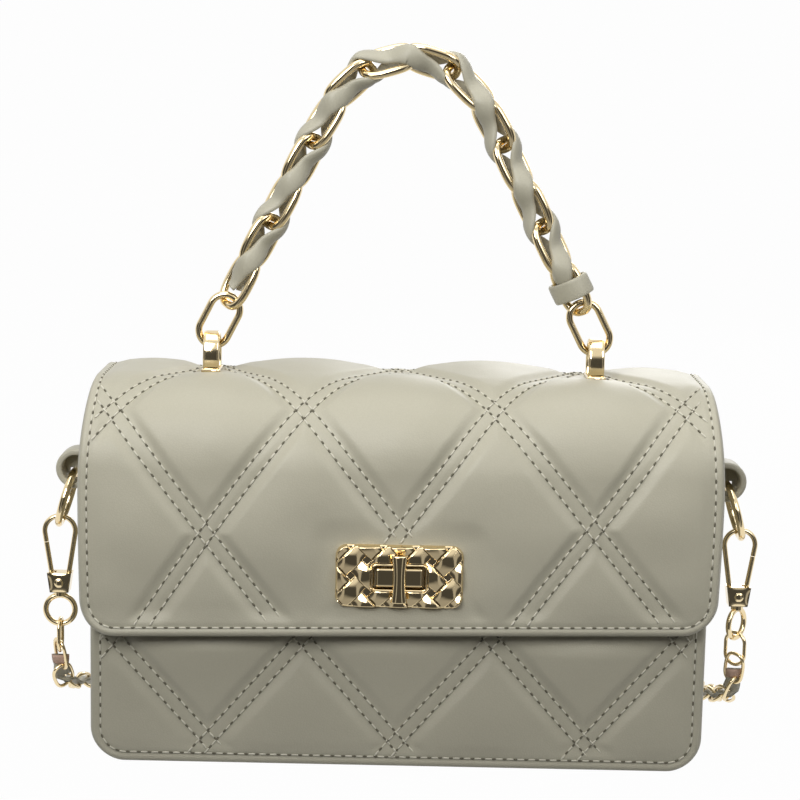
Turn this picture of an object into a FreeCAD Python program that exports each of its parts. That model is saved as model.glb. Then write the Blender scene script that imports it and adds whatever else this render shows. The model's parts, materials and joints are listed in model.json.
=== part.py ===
import FreeCAD, Part
import math
import os

from FreeCAD import Placement, Rotation, Vector

# Quilted flap bag with a short woven chain handle and a clip-on chain strap.
# Millimetres, +Z up, front faces -Y, origin in the middle of the base.

# Body: two panels, a U-shaped gusset between them, padding, board and lining.
body_width = 210.0
body_depth = 66.0
body_corner = 12.0
hinge_height = 112.0
gusset_drop = 1.0
front_drop = 5.0
skin = 1.2
pad = 3.0
lining_skin = 0.8
board = 1.5
soft_fit = 0.2
panel_round = 0.9

# Flap: one padded sheet over the top and down the front.
flap_width = 215.0
flap_low = 48.0
flap_rise = 20.0
flap_gap = 1.2
front_shoulder = 24.0
back_shoulder = 14.0
flap_corner = 12.0
turned_edge = 2.5
hinge_gap = 0.3
flap_round = 1.0

# Quilting: padded diamonds, sunk between double rows of stitches, on the flap and both panels.
quilt_half_width = 32.3
quilt_half_height = 43.0
quilt_row = 36.0
quilt_back_row = 27.0
quilt_front_half_height = 36.5
quilt_front_row = 9.0
quilt_rise = 2.6
quilt_front_rise = 2.2
quilt_seam = 2.2
quilt_border = 4.0
quilt_fade = 7.0
quilt_sink = 0.3
quilt_root = 0.8
quilt_fitting_gap = 1.0
quilt_flare_share = 2.0
quilt_steps = 8

# Turn lock: basket-weave plate on the flap, boss and toggle on the front panel.
lock_height = 69.0
plate_width = 43.0
plate_tall = 21.6
plate_thick = 1.6
plate_corner = 4.0
plate_margin = 1.1
window_width = 16.8
window_tall = 7.4
frame_band = 1.4
frame_rise = 1.4
weave_pitch = 7.7
weave_strip = 4.9
weave_gap = 0.25
weave_rise = 0.9
weave_top_share = 0.4
weave_side_share = 0.8
boss_clear = 0.5
boss_proud = 0.8
lock_way = 2.2
flange_width = 27.0
flange_tall = 14.0
flange_thick = 0.8
prong_width = 3.0
prong_thick = 0.7
prong_fit = 0.1
backing_width = 40.0
backing_tall = 20.0
backing_thick = 0.6
backing_clear = 0.7
washer_thick = 0.8
shaft_radius = 1.5
shaft_fit = 0.08
toggle_length = 16.2
toggle_width = 5.6
toggle_waist = 4.4
toggle_thick = 3.0
toggle_gap = 0.25
toggle_round = 0.7
retainer_radius = 3.2
retainer_thick = 0.7
retainer_gap = 0.1
shaft_hole = 4.2

# Handle loops: bridge-shaped metal straps screwed to the top of the flap.
loop_width = 5.6
loop_strap = 1.8
loop_gap = 8.4
loop_rise = 12.0
loop_base = 2.4
loop_foot = 1.0
screw_radius = 1.2
screw_fit = 0.2
screw_bite = 1.8
screw_head = 2.8
screw_head_thick = 1.0
loop_washer_radius = 5.0
loop_washer_thick = 0.8

# Handle chain: alternate links turned to either side of the arch's plane.
link_wire = 2.3
link_inner_length = 16.3
link_inner_width = 8.4
link_play = 0.7
link_turn = 45.0
leg_links = 5
leg_angle = 63.0
shoulder_angle = 47.0
crown_angle = 17.0
end_wire = 2.5
end_inner_length = 16.2
end_inner_width = 8.0
end_play = 0.2
strand_width = 2.3
strand_in = 2.7
strand_out = 5.5
strand_start_share = 0.25
keeper_length = 7.0
keeper_wall = 0.9
keeper_gap = 0.4
keeper_half = 5.1

# Side fittings: leather tab, ring, snap hook, gate and swivel eye.
tab_drop = 15.4
tab_reach = 16.0
tab_width = 10.0
tab_half = 7.0
tab_wall = 2.0
ring_radius = 9.7
ring_wire = 2.6
ring_lean = 16.0
ring_swing = 30.0
ring_play = 0.3
hook_wire = 1.8
hook_arch = 5.4
hook_play = 0.2
hook_drop = 16.2
hook_neck = 2.9
nose_drop = 3.0
block_top = 8.6
block_bottom = 6.6
block_tall = 7.0
block_depth = 5.6
block_sink = 0.8
gate_tip_gap = 0.25
gate_knuckle = 1.4
gate_knuckle_width = 2.2
gate_slot_gap = 0.2
gate_pin = 0.5
gate_fit = 0.06
post_radius = 1.2
post_fit = 0.12
post_neck = 2.2
post_head = 1.9
post_head_tall = 1.3
collar_radius = 2.2
collar_tall = 1.4
collar_gap = 0.15
eye_radius = 5.2
eye_wire = 2.0
eye_turn_right = 50.0
strap_link_wire = 1.3
strap_link_length = 10.4
strap_link_width = 6.4
strap_link_play = 0.2

# Shoulder strap: one cord in three stretches, laid on the floor behind the bag.
strap_width = 6.0
cord_bend_share = 0.45
strap_lead_left = [
    (-120.4, 0.0, 28.3), (-120.4, 0.0, 20.1), (-120.2, 3.5, 12.7), (-119.6, 9.8, 7.4),
    (-118.4, 21.0, 4.4), (-117.0, 33.0, 3.1), (-111.2, 41.8, 3.1), (-102.0, 46.8, 3.1),
    (-91.0, 46.8, 3.1),
]
strap_run = [
    (-90.7, 46.8, 3.1), (-70.0, 46.8, 3.1), (-34.0, 45.4, 3.1), (8.0, 47.2, 3.1),
    (48.0, 45.8, 3.1), (71.0, 47.1, 3.1), (92.8, 46.8, 3.1), (104.0, 58.0, 3.1),
    (104.0, 73.8, 3.1), (92.8, 85.0, 3.1), (71.0, 85.4, 3.1), (44.0, 84.0, 3.1),
    (4.0, 85.8, 3.1), (-36.0, 84.0, 3.1), (-70.0, 85.3, 3.1), (-92.8, 85.0, 3.1),
    (-104.0, 96.2, 3.1), (-104.0, 112.0, 3.1), (-92.8, 123.2, 3.1), (-71.0, 123.6, 3.1),
    (-44.0, 122.2, 3.1), (-4.0, 124.0, 3.1), (32.0, 122.6, 3.1), (54.0, 123.2, 3.1),
    (72.0, 123.2, 3.1),
]
strap_lead_right = [
    (72.3, 123.2, 3.1), (91.8, 123.2, 3.1), (103.4, 116.4, 3.1), (110.4, 104.5, 3.1),
    (112.2, 84.0, 3.1), (113.8, 60.0, 3.1), (116.4, 38.0, 3.1), (118.6, 21.0, 4.4),
    (119.6, 9.8, 7.4), (120.2, 3.5, 12.7), (120.4, 0.0, 20.1), (120.4, 0.0, 28.3),
]

# One overrun serves every cut.
overrun = 5.0

half_width = body_width / 2
front_y = -body_depth / 2
back_y = body_depth / 2
gusset_height = hinge_height - gusset_drop
front_height = hinge_height - front_drop
flap_top = hinge_height + flap_rise
tab_height = hinge_height - tab_drop
stack = skin + pad + lining_skin
flap_in_front = front_y - flap_gap
flap_in_back = back_y - stack
flap_in_top = flap_top - stack
flap_face = flap_in_front - stack
plate_front = flap_face - plate_thick
frame_front = plate_front - frame_rise
toggle_back = frame_front - toggle_gap
link_pitch = link_inner_length - link_play

UP = Vector(0, 0, 1)
ACROSS = Vector(1, 0, 0)
BACK = Vector(0, 1, 0)
HERE = Vector(0, 0, 0)


def line(a, b):
    return Part.LineSegment(a, b).toShape()


def arc(a, b, c):
    return Part.Arc(a, b, c).toShape()


def block(x0, x1, y0, y1, z0, z1):
    return Part.makeBox(x1 - x0, y1 - y0, z1 - z0, Vector(x0, y0, z0))


def rod(radius, start, end):
    return Part.makeCylinder(radius, (end - start).Length, start, end - start)


def rounded_plate(width, tall, radius, y0, y1, height=0):
    """A plate facing the front, with its four corners round."""
    plate = block(-width / 2, width / 2, y0, y1, height - tall / 2, height + tall / 2)
    corners = [e for e in plate.Edges if abs(e.tangentAt(e.FirstParameter).y) > 0.5]
    return plate.makeFillet(radius, corners)


def mirrored(shape):
    return shape.mirror(HERE, ACROSS)


def cup_prism(half, floor, top, radius, y0, y1):
    """A block with its two lower corners round, seen from the front."""
    low = floor + radius
    swing = radius * math.sin(math.pi / 4)
    points = {
        "top_left": Vector(-half, y0, top),
        "left": Vector(-half, y0, low),
        "left_mid": Vector(-half + radius - swing, y0, low - swing),
        "floor_left": Vector(-half + radius, y0, floor),
        "floor_right": Vector(half - radius, y0, floor),
        "right_mid": Vector(half - radius + swing, y0, low - swing),
        "right": Vector(half, y0, low),
        "top_right": Vector(half, y0, top),
    }
    edges = [
        line(points["top_left"], points["left"]),
        arc(points["left"], points["left_mid"], points["floor_left"]),
        line(points["floor_left"], points["floor_right"]),
        arc(points["floor_right"], points["right_mid"], points["right"]),
        line(points["right"], points["top_right"]),
        line(points["top_right"], points["top_left"]),
    ]
    return Part.Face(Part.Wire(edges)).extrude(Vector(0, y1 - y0, 0))


def cord_path(points):
    """Straight runs joined by tangent arcs, each as large as its two runs allow."""
    spots = [Vector(*p) for p in points]
    edges, radii, here = [], [], spots[0]
    for before, at, after in zip(spots, spots[1:], spots[2:]):
        back, on = before - at, after - at
        reach = cord_bend_share * min(back.Length, on.Length)
        back.normalize()
        on.normalize()
        half_turn = (math.pi - back.getAngle(on)) / 2
        radius = reach / math.tan(half_turn)
        radii.append(radius)
        middle = back + on
        middle.normalize()
        inside = radius / math.cos(half_turn) - radius
        start, end = at + back * reach, at + on * reach
        edges += [line(here, start), arc(start, at + middle * inside, end)]
        here = end
    edges.append(line(here, spots[-1]))
    return Part.Wire(edges), radii


def cord(name, points, width):
    """A round tube along a route, with its volume set beside section times length."""
    path, radii = cord_path(points)
    begin = Vector(*points[0])
    ring = Part.Wire(Part.makeCircle(width / 2, begin, Vector(*points[1]) - begin))
    tube = path.makePipeShell([ring], True, False)
    ratio = tube.Volume / (math.pi * width * width / 4 * path.Length)
    print(f"{name}: length {path.Length:.1f}, tightest {min(radii):.1f}, volume ratio {ratio:.4f}")
    return tube


def oval_link(inner_length, inner_width, wire):
    """A link of round wire, its length along Z and its flat along X."""
    bend = (inner_width + wire) / 2
    straight = (inner_length - inner_width) / 2
    side = [Vector(bend, 0, -straight), Vector(bend, 0, straight)]
    edges = [
        line(side[0], side[1]),
        arc(side[1], Vector(0, 0, straight + bend), Vector(-bend, 0, straight)),
        line(Vector(-bend, 0, straight), Vector(-bend, 0, -straight)),
        arc(Vector(-bend, 0, -straight), Vector(0, 0, -straight - bend), side[0]),
    ]
    ring = Part.Wire(Part.makeCircle(wire / 2, side[0], UP))
    return Part.Wire(edges).makePipeShell([ring], True, False)


def placed(shape, centre, direction, turn):
    """Turns a piece about its own Z, then lays that Z along a direction."""
    spin = Rotation(UP, turn)
    lay = Rotation(UP, direction)
    copy = shape.copy()
    copy.Placement = Placement(centre, lay.multiply(spin))
    return copy


def lock_holes(fit):
    """What the lock's boss needs cut through the front panel and its padding."""
    return rod(shaft_hole + fit, Vector(0, front_y - overrun, lock_height),
               Vector(0, front_y + skin + pad + overrun, lock_height))


def flange_prongs(fit):
    """The two bent legs that hold the boss on the front panel."""
    reach = (flange_width - flange_tall / 2) / 2
    y1 = front_y + skin + washer_thick
    legs = [
        block(s * reach - prong_thick / 2 - fit, s * reach + prong_thick / 2 + fit, front_y, y1,
              lock_height - prong_width / 2 - fit, lock_height + prong_width / 2 + fit)
        for s in (-1, 1)
    ]
    return Part.makeCompound(legs)


def plate_prongs(fit):
    """The four bent legs that hold the lock plate on the flap."""
    out = (backing_width + flange_width) / 4 + backing_clear / 2
    legs = []
    for sx in (-1, 1):
        for sz in (-1, 1):
            z = lock_height + sz * flange_tall / 4
            legs.append(block(
                sx * out - prong_thick / 2 - fit, sx * out + prong_thick / 2 + fit,
                flap_face, flap_in_front + backing_thick,
                z - prong_width / 2 - fit, z + prong_width / 2 + fit))
    return Part.makeCompound(legs)


def solids_of(shapes):
    return [solid for shape in shapes for solid in shape.Solids]


def pad_level(edge, u, v, rise):
    """How far a padded diamond stands off the skin: full in the middle, under it at seams and borders."""
    inside = min(max((edge - quilt_border) / quilt_fade, 0), 1)
    fullness = (1 - u ** 4) * (1 - v ** 4) * inside * (2 - inside)
    return (rise + quilt_sink) * fullness - quilt_sink


def pad_solid(spot, edge, across, up, half_height, rise):
    """One padded diamond round a point of a panel, from its root in the skin to its crown."""
    corner = math.hypot(quilt_half_width, half_height)
    shrink = 1 - quilt_seam * corner / (quilt_half_width * half_height)
    count = range(quilt_steps + 1)
    crown, root = [], []
    for i in count:
        crown.append([])
        root.append([])
        for k in count:
            u, v = 2 * i / quilt_steps - 1, 2 * k / quilt_steps - 1
            x = across + quilt_half_width * shrink * (u - v) / 2
            s = up + half_height * shrink * (u + v) / 2
            at, out = spot(x, s)
            crown[-1].append(at + out * pad_level(edge(x, s), u, v, rise))
            root[-1].append(at - out * quilt_root)
    knots = list(range(quilt_steps - 1))
    repeats = [4] + [1] * (quilt_steps - 3) + [4]
    sheets = []
    for points in (crown, root):
        surface = Part.BSplineSurface()
        surface.buildFromPolesMultsKnots(points, repeats, repeats, knots, knots, False, False, 3, 3)
        sheets.append(surface.toShape())
    sides = [Part.makeRuledSurface(a, b) for a, b in zip(sheets[0].Edges, sheets[1].Edges)]
    shell = Part.makeShell(sheets + sides)
    shell.sewShape()
    solid = Part.makeSolid(shell)
    if solid.Volume < 0:
        solid.reverse()
    return solid


def quilt_pads(spot, edge, half, tall, row, half_height, rise):
    """Every diamond that shows on a panel, where row is the height of one line of crossings."""
    pads = []
    first, last = math.floor(-row / half_height) - 1, math.ceil((tall - row) / half_height) + 1
    for line_number in range(first, last + 1):
        up = row + line_number * half_height
        columns = math.ceil(half / quilt_half_width) + 1
        for column in range(-columns, columns + 1):
            across = column * quilt_half_width
            odd = (line_number + column) % 2 == 1
            probes = [(across + sx * quilt_half_width / 2, up + sz * half_height / 2)
                      for sx in (-1, 0, 1) for sz in (-1, 0, 1)]
            if odd and max(edge(x, s) for x, s in probes) > quilt_border + quilt_fade / 2:
                pads.append(pad_solid(spot, edge, across, up, half_height, rise))
    return pads


def flap_spot(x, s):
    """A point of the flap's outer face and the way out of it, by its length from the lower edge."""
    front_radius, back_radius = front_shoulder + stack, back_shoulder + stack
    brow = flap_in_top - front_shoulder - flap_low
    crown = brow + front_radius * math.pi / 2
    nape = crown + flap_in_back - back_shoulder - flap_in_front - front_shoulder
    if s < brow:
        return Vector(x, flap_face, flap_low + s), Vector(0, -1, 0)
    if s < crown:
        turn = (s - brow) / front_radius
        out = Vector(0, -math.cos(turn), math.sin(turn))
        centre = Vector(x, flap_in_front + front_shoulder, flap_in_top - front_shoulder)
        return centre + out * front_radius, out
    if s < nape:
        return Vector(x, flap_in_front + front_shoulder + s - crown, flap_top), UP
    turn = (s - nape) / back_radius
    out = Vector(0, math.sin(min(turn, math.pi / 2)), math.cos(min(turn, math.pi / 2)))
    drop = max(s - nape - back_radius * math.pi / 2, 0)
    centre = Vector(x, flap_in_back - back_shoulder, flap_in_top - back_shoulder)
    return centre + out * back_radius - UP * drop, out


def flap_length():
    """The flap's length over its outer face, from the lower edge to its foot at the hinge."""
    return (flap_in_top - front_shoulder - flap_low + (front_shoulder + stack) * math.pi / 2
            + flap_in_back - back_shoulder - flap_in_front - front_shoulder
            + (back_shoulder + stack) * math.pi / 2 + flap_in_top - back_shoulder - hinge_height - hinge_gap)


def flap_quilting():
    """The flap's padded diamonds, cut clear of the lock plate and the loops' feet."""
    def edge(x, s):
        return min(flap_width / 2 - abs(x), s, flap_length() - s)
    pads = quilt_pads(flap_spot, edge, flap_width / 2, flap_length(), quilt_row, quilt_half_height,
                      quilt_rise)
    inset = quilt_border / 2
    outline = cup_prism(flap_width / 2 - inset, flap_low + inset, flap_top + overrun, flap_corner - inset,
                        flap_face - overrun, back_y + overrun)
    behind = block(-flap_width, flap_width, flap_in_back, back_y + overrun, 0,
                   hinge_height + hinge_gap + inset)
    room = outline.cut(behind)
    wires = []
    for way in (-quilt_root, quilt_rise):
        grow = quilt_fitting_gap + quilt_flare_share * way
        wide, tall = plate_width / 2 + grow, plate_tall / 2 + grow
        corners = [(-1, -1), (1, -1), (1, 1), (-1, 1)]
        spots = [Vector(sx * wide, flap_face - way, lock_height + sz * tall) for sx, sz in corners]
        wires.append(Part.makePolygon(spots + spots[:1]))
    hollows = [Part.makeLoft(wires, True, True)]
    foot = loop_gap / 2 + loop_strap + loop_foot + quilt_fitting_gap
    for place in loop_places():
        hollows.append(Part.makeCone(
            foot - quilt_flare_share * quilt_root, foot + quilt_flare_share * quilt_rise,
            quilt_root + quilt_rise, place - UP * quilt_root))
    shown = []
    for pad in pads:
        pad = pad.common(room)
        for hollow in hollows:
            pad = pad.cut(hollow)
        shown.append(pad)
    return shown


def panel_quilting(y, out, top, row, half_height, rise):
    """The padded diamonds of a flat panel whose outer face lies at a depth."""
    def spot(x, s):
        return Vector(x, y, s), out

    def edge(x, s):
        return min(half_width - abs(x), s, top - s)
    pads = quilt_pads(spot, edge, half_width, top, row, half_height, rise)
    inset = quilt_border / 2
    room = cup_prism(half_width - inset, inset, top - inset, body_corner - inset, y - overrun, y + overrun)
    return [pad.common(room) for pad in pads]


def make_panels():
    front = cup_prism(half_width, 0, front_height, body_corner, front_y, front_y + skin)
    rim = [
        e for e in front.Edges
        if abs(e.BoundBox.YMax - front_y) < soft_fit and e.BoundBox.ZMin < front_height - soft_fit
    ]
    front = front.makeFillet(panel_round, rim)
    pads = panel_quilting(front_y, -BACK, flap_low, quilt_front_row, quilt_front_half_height,
                          quilt_front_rise)
    front = front.fuse(solids_of(pads)).cut(lock_holes(0)).cut(flange_prongs(prong_fit))
    back = cup_prism(half_width, 0, hinge_height, body_corner, back_y - skin, back_y)
    rim = [
        e for e in back.Edges
        if abs(e.BoundBox.YMin - back_y) < soft_fit and e.BoundBox.ZMin < hinge_height - soft_fit
    ]
    back = back.makeFillet(panel_round, rim)
    pads = panel_quilting(back_y, BACK, hinge_height, quilt_back_row, quilt_half_height, quilt_rise)
    return front, back.fuse(solids_of(pads))


def make_gusset():
    y = back_y - skin
    outer = cup_prism(half_width, 0, gusset_height, body_corner, -y, y)
    inner = cup_prism(half_width - skin, skin, gusset_height + overrun, body_corner - skin,
                      -y - overrun, y + overrun)
    return outer.cut(inner)


def make_paddings():
    inset = skin + soft_fit
    front = cup_prism(half_width - inset, inset, front_height, body_corner - inset,
                      front_y + skin, front_y + skin + pad)
    hollow = rounded_plate(flange_width + 2 * soft_fit, flange_tall + 2 * soft_fit, shaft_radius,
                           front_y, front_y + skin + washer_thick + soft_fit, lock_height)
    back = cup_prism(half_width - inset, inset, hinge_height, body_corner - inset,
                     back_y - skin - pad, back_y - skin)
    return front.cut(hollow).cut(lock_holes(0)), back


def make_lining():
    inset = skin + soft_fit
    floor = skin + board + soft_fit
    y = back_y - skin - pad
    outer = cup_prism(half_width - inset, floor, gusset_height, body_corner - inset, -y, y)
    hem = cup_prism(half_width - inset, floor, hinge_height, body_corner - inset, y - lining_skin, y)
    inner = cup_prism(half_width - inset - lining_skin, floor + lining_skin, gusset_height + overrun,
                      body_corner - inset - lining_skin, -y + lining_skin, y - lining_skin)
    return outer.fuse(hem).cut(inner).removeSplitter()


def make_board():
    half = half_width - body_corner
    y = back_y - skin - pad - soft_fit
    return block(-half, half, -y, y, skin, skin + board)


def flap_line(offset):
    """The flap's side profile, a given way out from its inner face: back edge to front edge."""
    back, front, top = flap_in_back + offset, flap_in_front - offset, flap_in_top + offset
    back_centre = Vector(0, flap_in_back - back_shoulder, flap_in_top - back_shoulder)
    front_centre = Vector(0, flap_in_front + front_shoulder, flap_in_top - front_shoulder)
    slant = math.sin(math.pi / 4)
    back_mid = back_centre + Vector(0, slant, slant) * (back_shoulder + offset)
    front_mid = front_centre + Vector(0, -slant, slant) * (front_shoulder + offset)
    foot = Vector(0, back, hinge_height + hinge_gap)
    low = Vector(0, front, flap_low - overrun)
    shoulder = [Vector(0, back, back_centre.z), Vector(0, back_centre.y, top)]
    brow = [Vector(0, front_centre.y, top), Vector(0, front, front_centre.z)]
    edges = [
        line(foot, shoulder[0]),
        arc(shoulder[0], back_mid, shoulder[1]),
        line(shoulder[1], brow[0]),
        arc(brow[0], front_mid, brow[1]),
        line(brow[1], low),
    ]
    return edges, foot, low


def flap_layer(inner, outer, inset):
    """One layer of the flap between two offsets, drawn in from the outline by an inset."""
    inside, foot_in, low_in = flap_line(inner)
    outside, foot_out, low_out = flap_line(outer)
    wire = Part.Wire(Part.__sortEdges__(inside + outside + [line(foot_in, foot_out), line(low_in, low_out)]))
    band = Part.Face(wire).extrude(Vector(flap_width, 0, 0))
    band.translate(Vector(-flap_width / 2, 0, 0))
    outline = cup_prism(flap_width / 2 - inset, flap_low + inset, flap_top + overrun, flap_corner - inset,
                        flap_face - overrun, back_y + overrun)
    return band.common(outline)


def loop_places():
    return [Vector(s * loop_x(), 0, flap_top) for s in (-1, 1)]


def screw_holes(radius):
    """The ways for the loops' screws through the top of the flap."""
    ways = [rod(radius, p - UP * (stack + overrun), p + UP * overrun) for p in loop_places()]
    return Part.makeCompound(ways)


def lock_way_cut():
    """The hole in the flap behind the lock plate, which the boss passes through."""
    return rounded_plate(window_width + lock_way, window_tall + lock_way, lock_way / 2,
                         flap_face - overrun, flap_in_front + overrun, lock_height)


def make_flap():
    cover = flap_layer(lining_skin, stack, 0)
    rim = [
        e for e in cover.Edges
        if (e.BoundBox.YMax < flap_face + soft_fit
            or (e.BoundBox.XLength < soft_fit and on_flap_outside(e)))
    ]
    cover = cover.makeFillet(flap_round, rim)
    cover = cover.fuse(solids_of(flap_quilting()))
    cover = cover.cut(flap_layer(lining_skin, lining_skin + pad, turned_edge))
    padding = flap_layer(lining_skin, lining_skin + pad, turned_edge + soft_fit)
    lining = flap_layer(0, lining_skin, turned_edge / 2)
    ways = [lock_way_cut(), screw_holes(screw_radius + screw_fit), plate_prongs(prong_fit)]
    layers = []
    for layer in (cover, padding, lining):
        for way in ways:
            layer = layer.cut(way)
        layers.append(layer)
    return layers


def on_flap_outside(edge):
    """Whether an edge along the flap's side lies on its outer face."""
    probe = edge.valueAt((edge.FirstParameter + edge.LastParameter) / 2)
    return (
        probe.y < flap_face + soft_fit
        or probe.z > flap_top - soft_fit
        or abs((probe - Vector(probe.x, flap_in_front + front_shoulder, flap_in_top - front_shoulder)).Length
               - front_shoulder - stack) < soft_fit
        or abs((probe - Vector(probe.x, flap_in_back - back_shoulder, flap_in_top - back_shoulder)).Length
               - back_shoulder - stack) < soft_fit
    )


def weave_cell(row, column):
    """One raised strip of the basket weave, lying along or across by turns."""
    length = 2 * (weave_pitch - weave_gap) - weave_strip
    top = (length * weave_top_share, weave_strip * weave_side_share)
    wires = []
    for (run, strip), rise in (((length, weave_strip), 0), (top, weave_rise)):
        wide, tall = (strip, run) if (row + column) % 2 else (run, strip)
        corners = [(-1, -1), (1, -1), (1, 1), (-1, 1)]
        spots = [Vector(sx * wide / 2, -rise, sz * tall / 2) for sx, sz in corners]
        wires.append(Part.makePolygon(spots + spots[:1]))
    cell = Part.makeLoft(wires, True, True)
    cell.translate(Vector(column * weave_pitch, plate_front, row * weave_pitch))
    cell.rotate(HERE, BACK, 45)
    return cell


def make_lock_plate():
    plate = rounded_plate(plate_width, plate_tall, plate_corner, plate_front, flap_face, 0)
    frame = rounded_plate(window_width + 2 * frame_band, window_tall + 2 * frame_band, frame_band,
                          frame_front, plate_front, 0)
    face = rounded_plate(plate_width - 2 * plate_margin, plate_tall - 2 * plate_margin,
                         plate_corner - plate_margin, plate_front - weave_rise, plate_front, 0)
    reach = math.ceil((plate_width + plate_tall) / 2 / math.sqrt(2) / weave_pitch)
    span = range(-reach, reach + 1)
    cells = Part.makeCompound([weave_cell(i, k) for i in span for k in span])
    weave = cells.common(face).cut(frame)
    window = rounded_plate(window_width, window_tall, frame_band / 2, frame_front - overrun,
                           flap_face + overrun, 0)
    strips = [s for s in weave.Solids if s.Volume > weave_gap ** 3]
    plate = plate.fuse([frame] + strips).cut(window)
    plate.translate(UP * lock_height)
    plate = plate.fuse(plate_prongs(0).Solids)
    ring = rounded_plate(backing_width, backing_tall, plate_corner, flap_in_front,
                         flap_in_front + backing_thick, lock_height)
    opening = rounded_plate(flange_width + 2 * backing_clear, flange_tall + 2 * backing_clear,
                            backing_clear, flap_in_front - overrun, front_y + overrun, lock_height)
    return plate, ring.cut(opening).cut(plate_prongs(prong_fit))


def make_lock_base():
    boss_front = plate_front - boss_proud
    flange = rounded_plate(flange_width, flange_tall, shaft_radius,
                           front_y - flange_thick, front_y, lock_height)
    boss = rounded_plate(window_width - 2 * boss_clear, window_tall - 2 * boss_clear, boss_clear,
                         boss_front, front_y - flange_thick, lock_height)
    bore = rod(shaft_radius + shaft_fit, Vector(0, boss_front - overrun, lock_height),
               Vector(0, front_y + overrun, lock_height))
    base = flange.fuse(boss).fuse(flange_prongs(0).Solids).cut(bore)
    washer = rounded_plate(flange_width, flange_tall, shaft_radius, front_y + skin,
                           front_y + skin + washer_thick, lock_height)
    return base, washer.cut(lock_holes(0)).cut(flange_prongs(prong_fit))


def make_toggle():
    wide, tall, waist = toggle_width / 2, toggle_length / 2, toggle_waist / 2
    y = toggle_back - toggle_thick
    edges = [
        line(Vector(-wide, y, tall), Vector(wide, y, tall)),
        arc(Vector(wide, y, tall), Vector(waist, y, 0), Vector(wide, y, -tall)),
        line(Vector(wide, y, -tall), Vector(-wide, y, -tall)),
        arc(Vector(-wide, y, -tall), Vector(-waist, y, 0), Vector(-wide, y, tall)),
    ]
    bar = Part.Face(Part.Wire(edges)).extrude(Vector(0, toggle_thick, 0))
    front = [e for e in bar.Edges if e.BoundBox.YMax < y + soft_fit]
    bar = bar.makeFillet(toggle_round, front)
    bar.translate(UP * lock_height)
    clip_end = front_y + retainer_gap + retainer_thick
    shaft = rod(shaft_radius, Vector(0, toggle_back, lock_height), Vector(0, clip_end, lock_height))
    clip = rod(retainer_radius, Vector(0, front_y + retainer_gap, lock_height),
               Vector(0, clip_end, lock_height))
    return bar.fuse(shaft), clip.cut(shaft)


def handle_directions():
    """Each link's direction along the handle, from the left loop to the right one."""
    rising = [leg_angle] * leg_links + [shoulder_angle, crown_angle]
    angles = rising + [-a for a in reversed(rising)]
    return [Vector(math.cos(math.radians(a)), 0, math.sin(math.radians(a))) for a in angles]


def end_seat():
    """How far the end link's lower bend centre rides above the middle of the loop's bar."""
    along = handle_directions()[0]
    corner = Vector(-loop_width / 2, 0, -loop_strap / 2)
    room = end_inner_width / 2 - end_play
    shift = corner.dot(along)
    return math.sqrt(room ** 2 - corner.Length ** 2 + shift ** 2) + shift


def loop_to_chain():
    """From the middle of a loop's bar to the first contact of the chain."""
    return end_seat() - end_inner_width / 2 + end_inner_length - link_play / 2


def loop_x():
    half = sum(d.x for d in handle_directions()) / 2 * link_pitch
    return half + loop_to_chain() * handle_directions()[0].x


def handle_joints():
    """The points where each link meets the next, left to right."""
    along = handle_directions()
    bar = Vector(-loop_x(), 0, flap_top + loop_rise + loop_strap / 2)
    joints = [bar + along[0] * loop_to_chain()]
    for direction in along:
        joints.append(joints[-1] + direction * link_pitch)
    return joints


def make_handle_links():
    joints, along = handle_joints(), handle_directions()
    pattern = oval_link(link_inner_length, link_inner_width, link_wire)
    links = []
    for k, direction in enumerate(along):
        turn = -link_turn if k % 2 == 0 else link_turn
        middle = (joints[k] + joints[k + 1]) / 2
        links.append(placed(pattern, middle, direction, turn))
    return links


def make_end_links():
    along = handle_directions()[0]
    bar = Vector(-loop_x(), 0, flap_top + loop_rise + loop_strap / 2)
    middle = bar + along * (end_seat() + (end_inner_length - end_inner_width) / 2)
    left = placed(oval_link(end_inner_length, end_inner_width, end_wire), middle, along, 0)
    return left, mirrored(left)


def strand_points(phase):
    """A strip winding a quarter turn on each link: close in mid-link, wide at the contacts."""
    joints, along = handle_joints(), handle_directions()
    steps = 2 * len(along)
    points = []
    for step in range(steps + 1):
        k = min(step // 2, len(along) - 1)
        at_contact = step % 2 == 0
        if at_contact:
            around = along[max(step // 2 - 1, 0)] + along[min(step // 2, len(along) - 1)]
            around.normalize()
            centre = joints[step // 2]
        else:
            around = along[k]
            centre = (joints[k] + joints[k + 1]) / 2
        reach = strand_out if at_contact else strand_in
        angle = phase + step * math.radians(link_turn)
        side = BACK.cross(around)
        points.append(centre + side * (reach * math.cos(angle)) + BACK * (reach * math.sin(angle)))
    first, last = points[0], points[-1]
    points[0] = first + (points[1] - first) * strand_start_share * 2
    points[-1] = last + (points[-2] - last) * strand_start_share * 2
    return [tuple(p) for p in points]


def make_keeper():
    joints, along = handle_joints(), handle_directions()
    across = link_inner_width / 2 + link_wire + keeper_gap - keeper_half
    rings = []
    for radius, extra in ((keeper_half + keeper_wall, 0), (keeper_half, overrun)):
        low, high = -keeper_length / 2 - extra, keeper_length / 2 + extra
        spots = [Vector(across, -radius, low), Vector(across, radius, low),
                 Vector(-across, radius, low), Vector(-across, -radius, low)]
        edges = [
            arc(spots[0], Vector(across + radius, 0, low), spots[1]),
            line(spots[1], spots[2]),
            arc(spots[2], Vector(-across - radius, 0, low), spots[3]),
            line(spots[3], spots[0]),
        ]
        rings.append(Part.Face(Part.Wire(edges)).extrude(UP * (high - low)))
    last = len(along) - 1
    turn = -link_turn if last % 2 == 0 else link_turn
    middle = (joints[last] + joints[last + 1]) / 2
    return placed(rings[0].cut(rings[1]), middle, along[last], turn)


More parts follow.
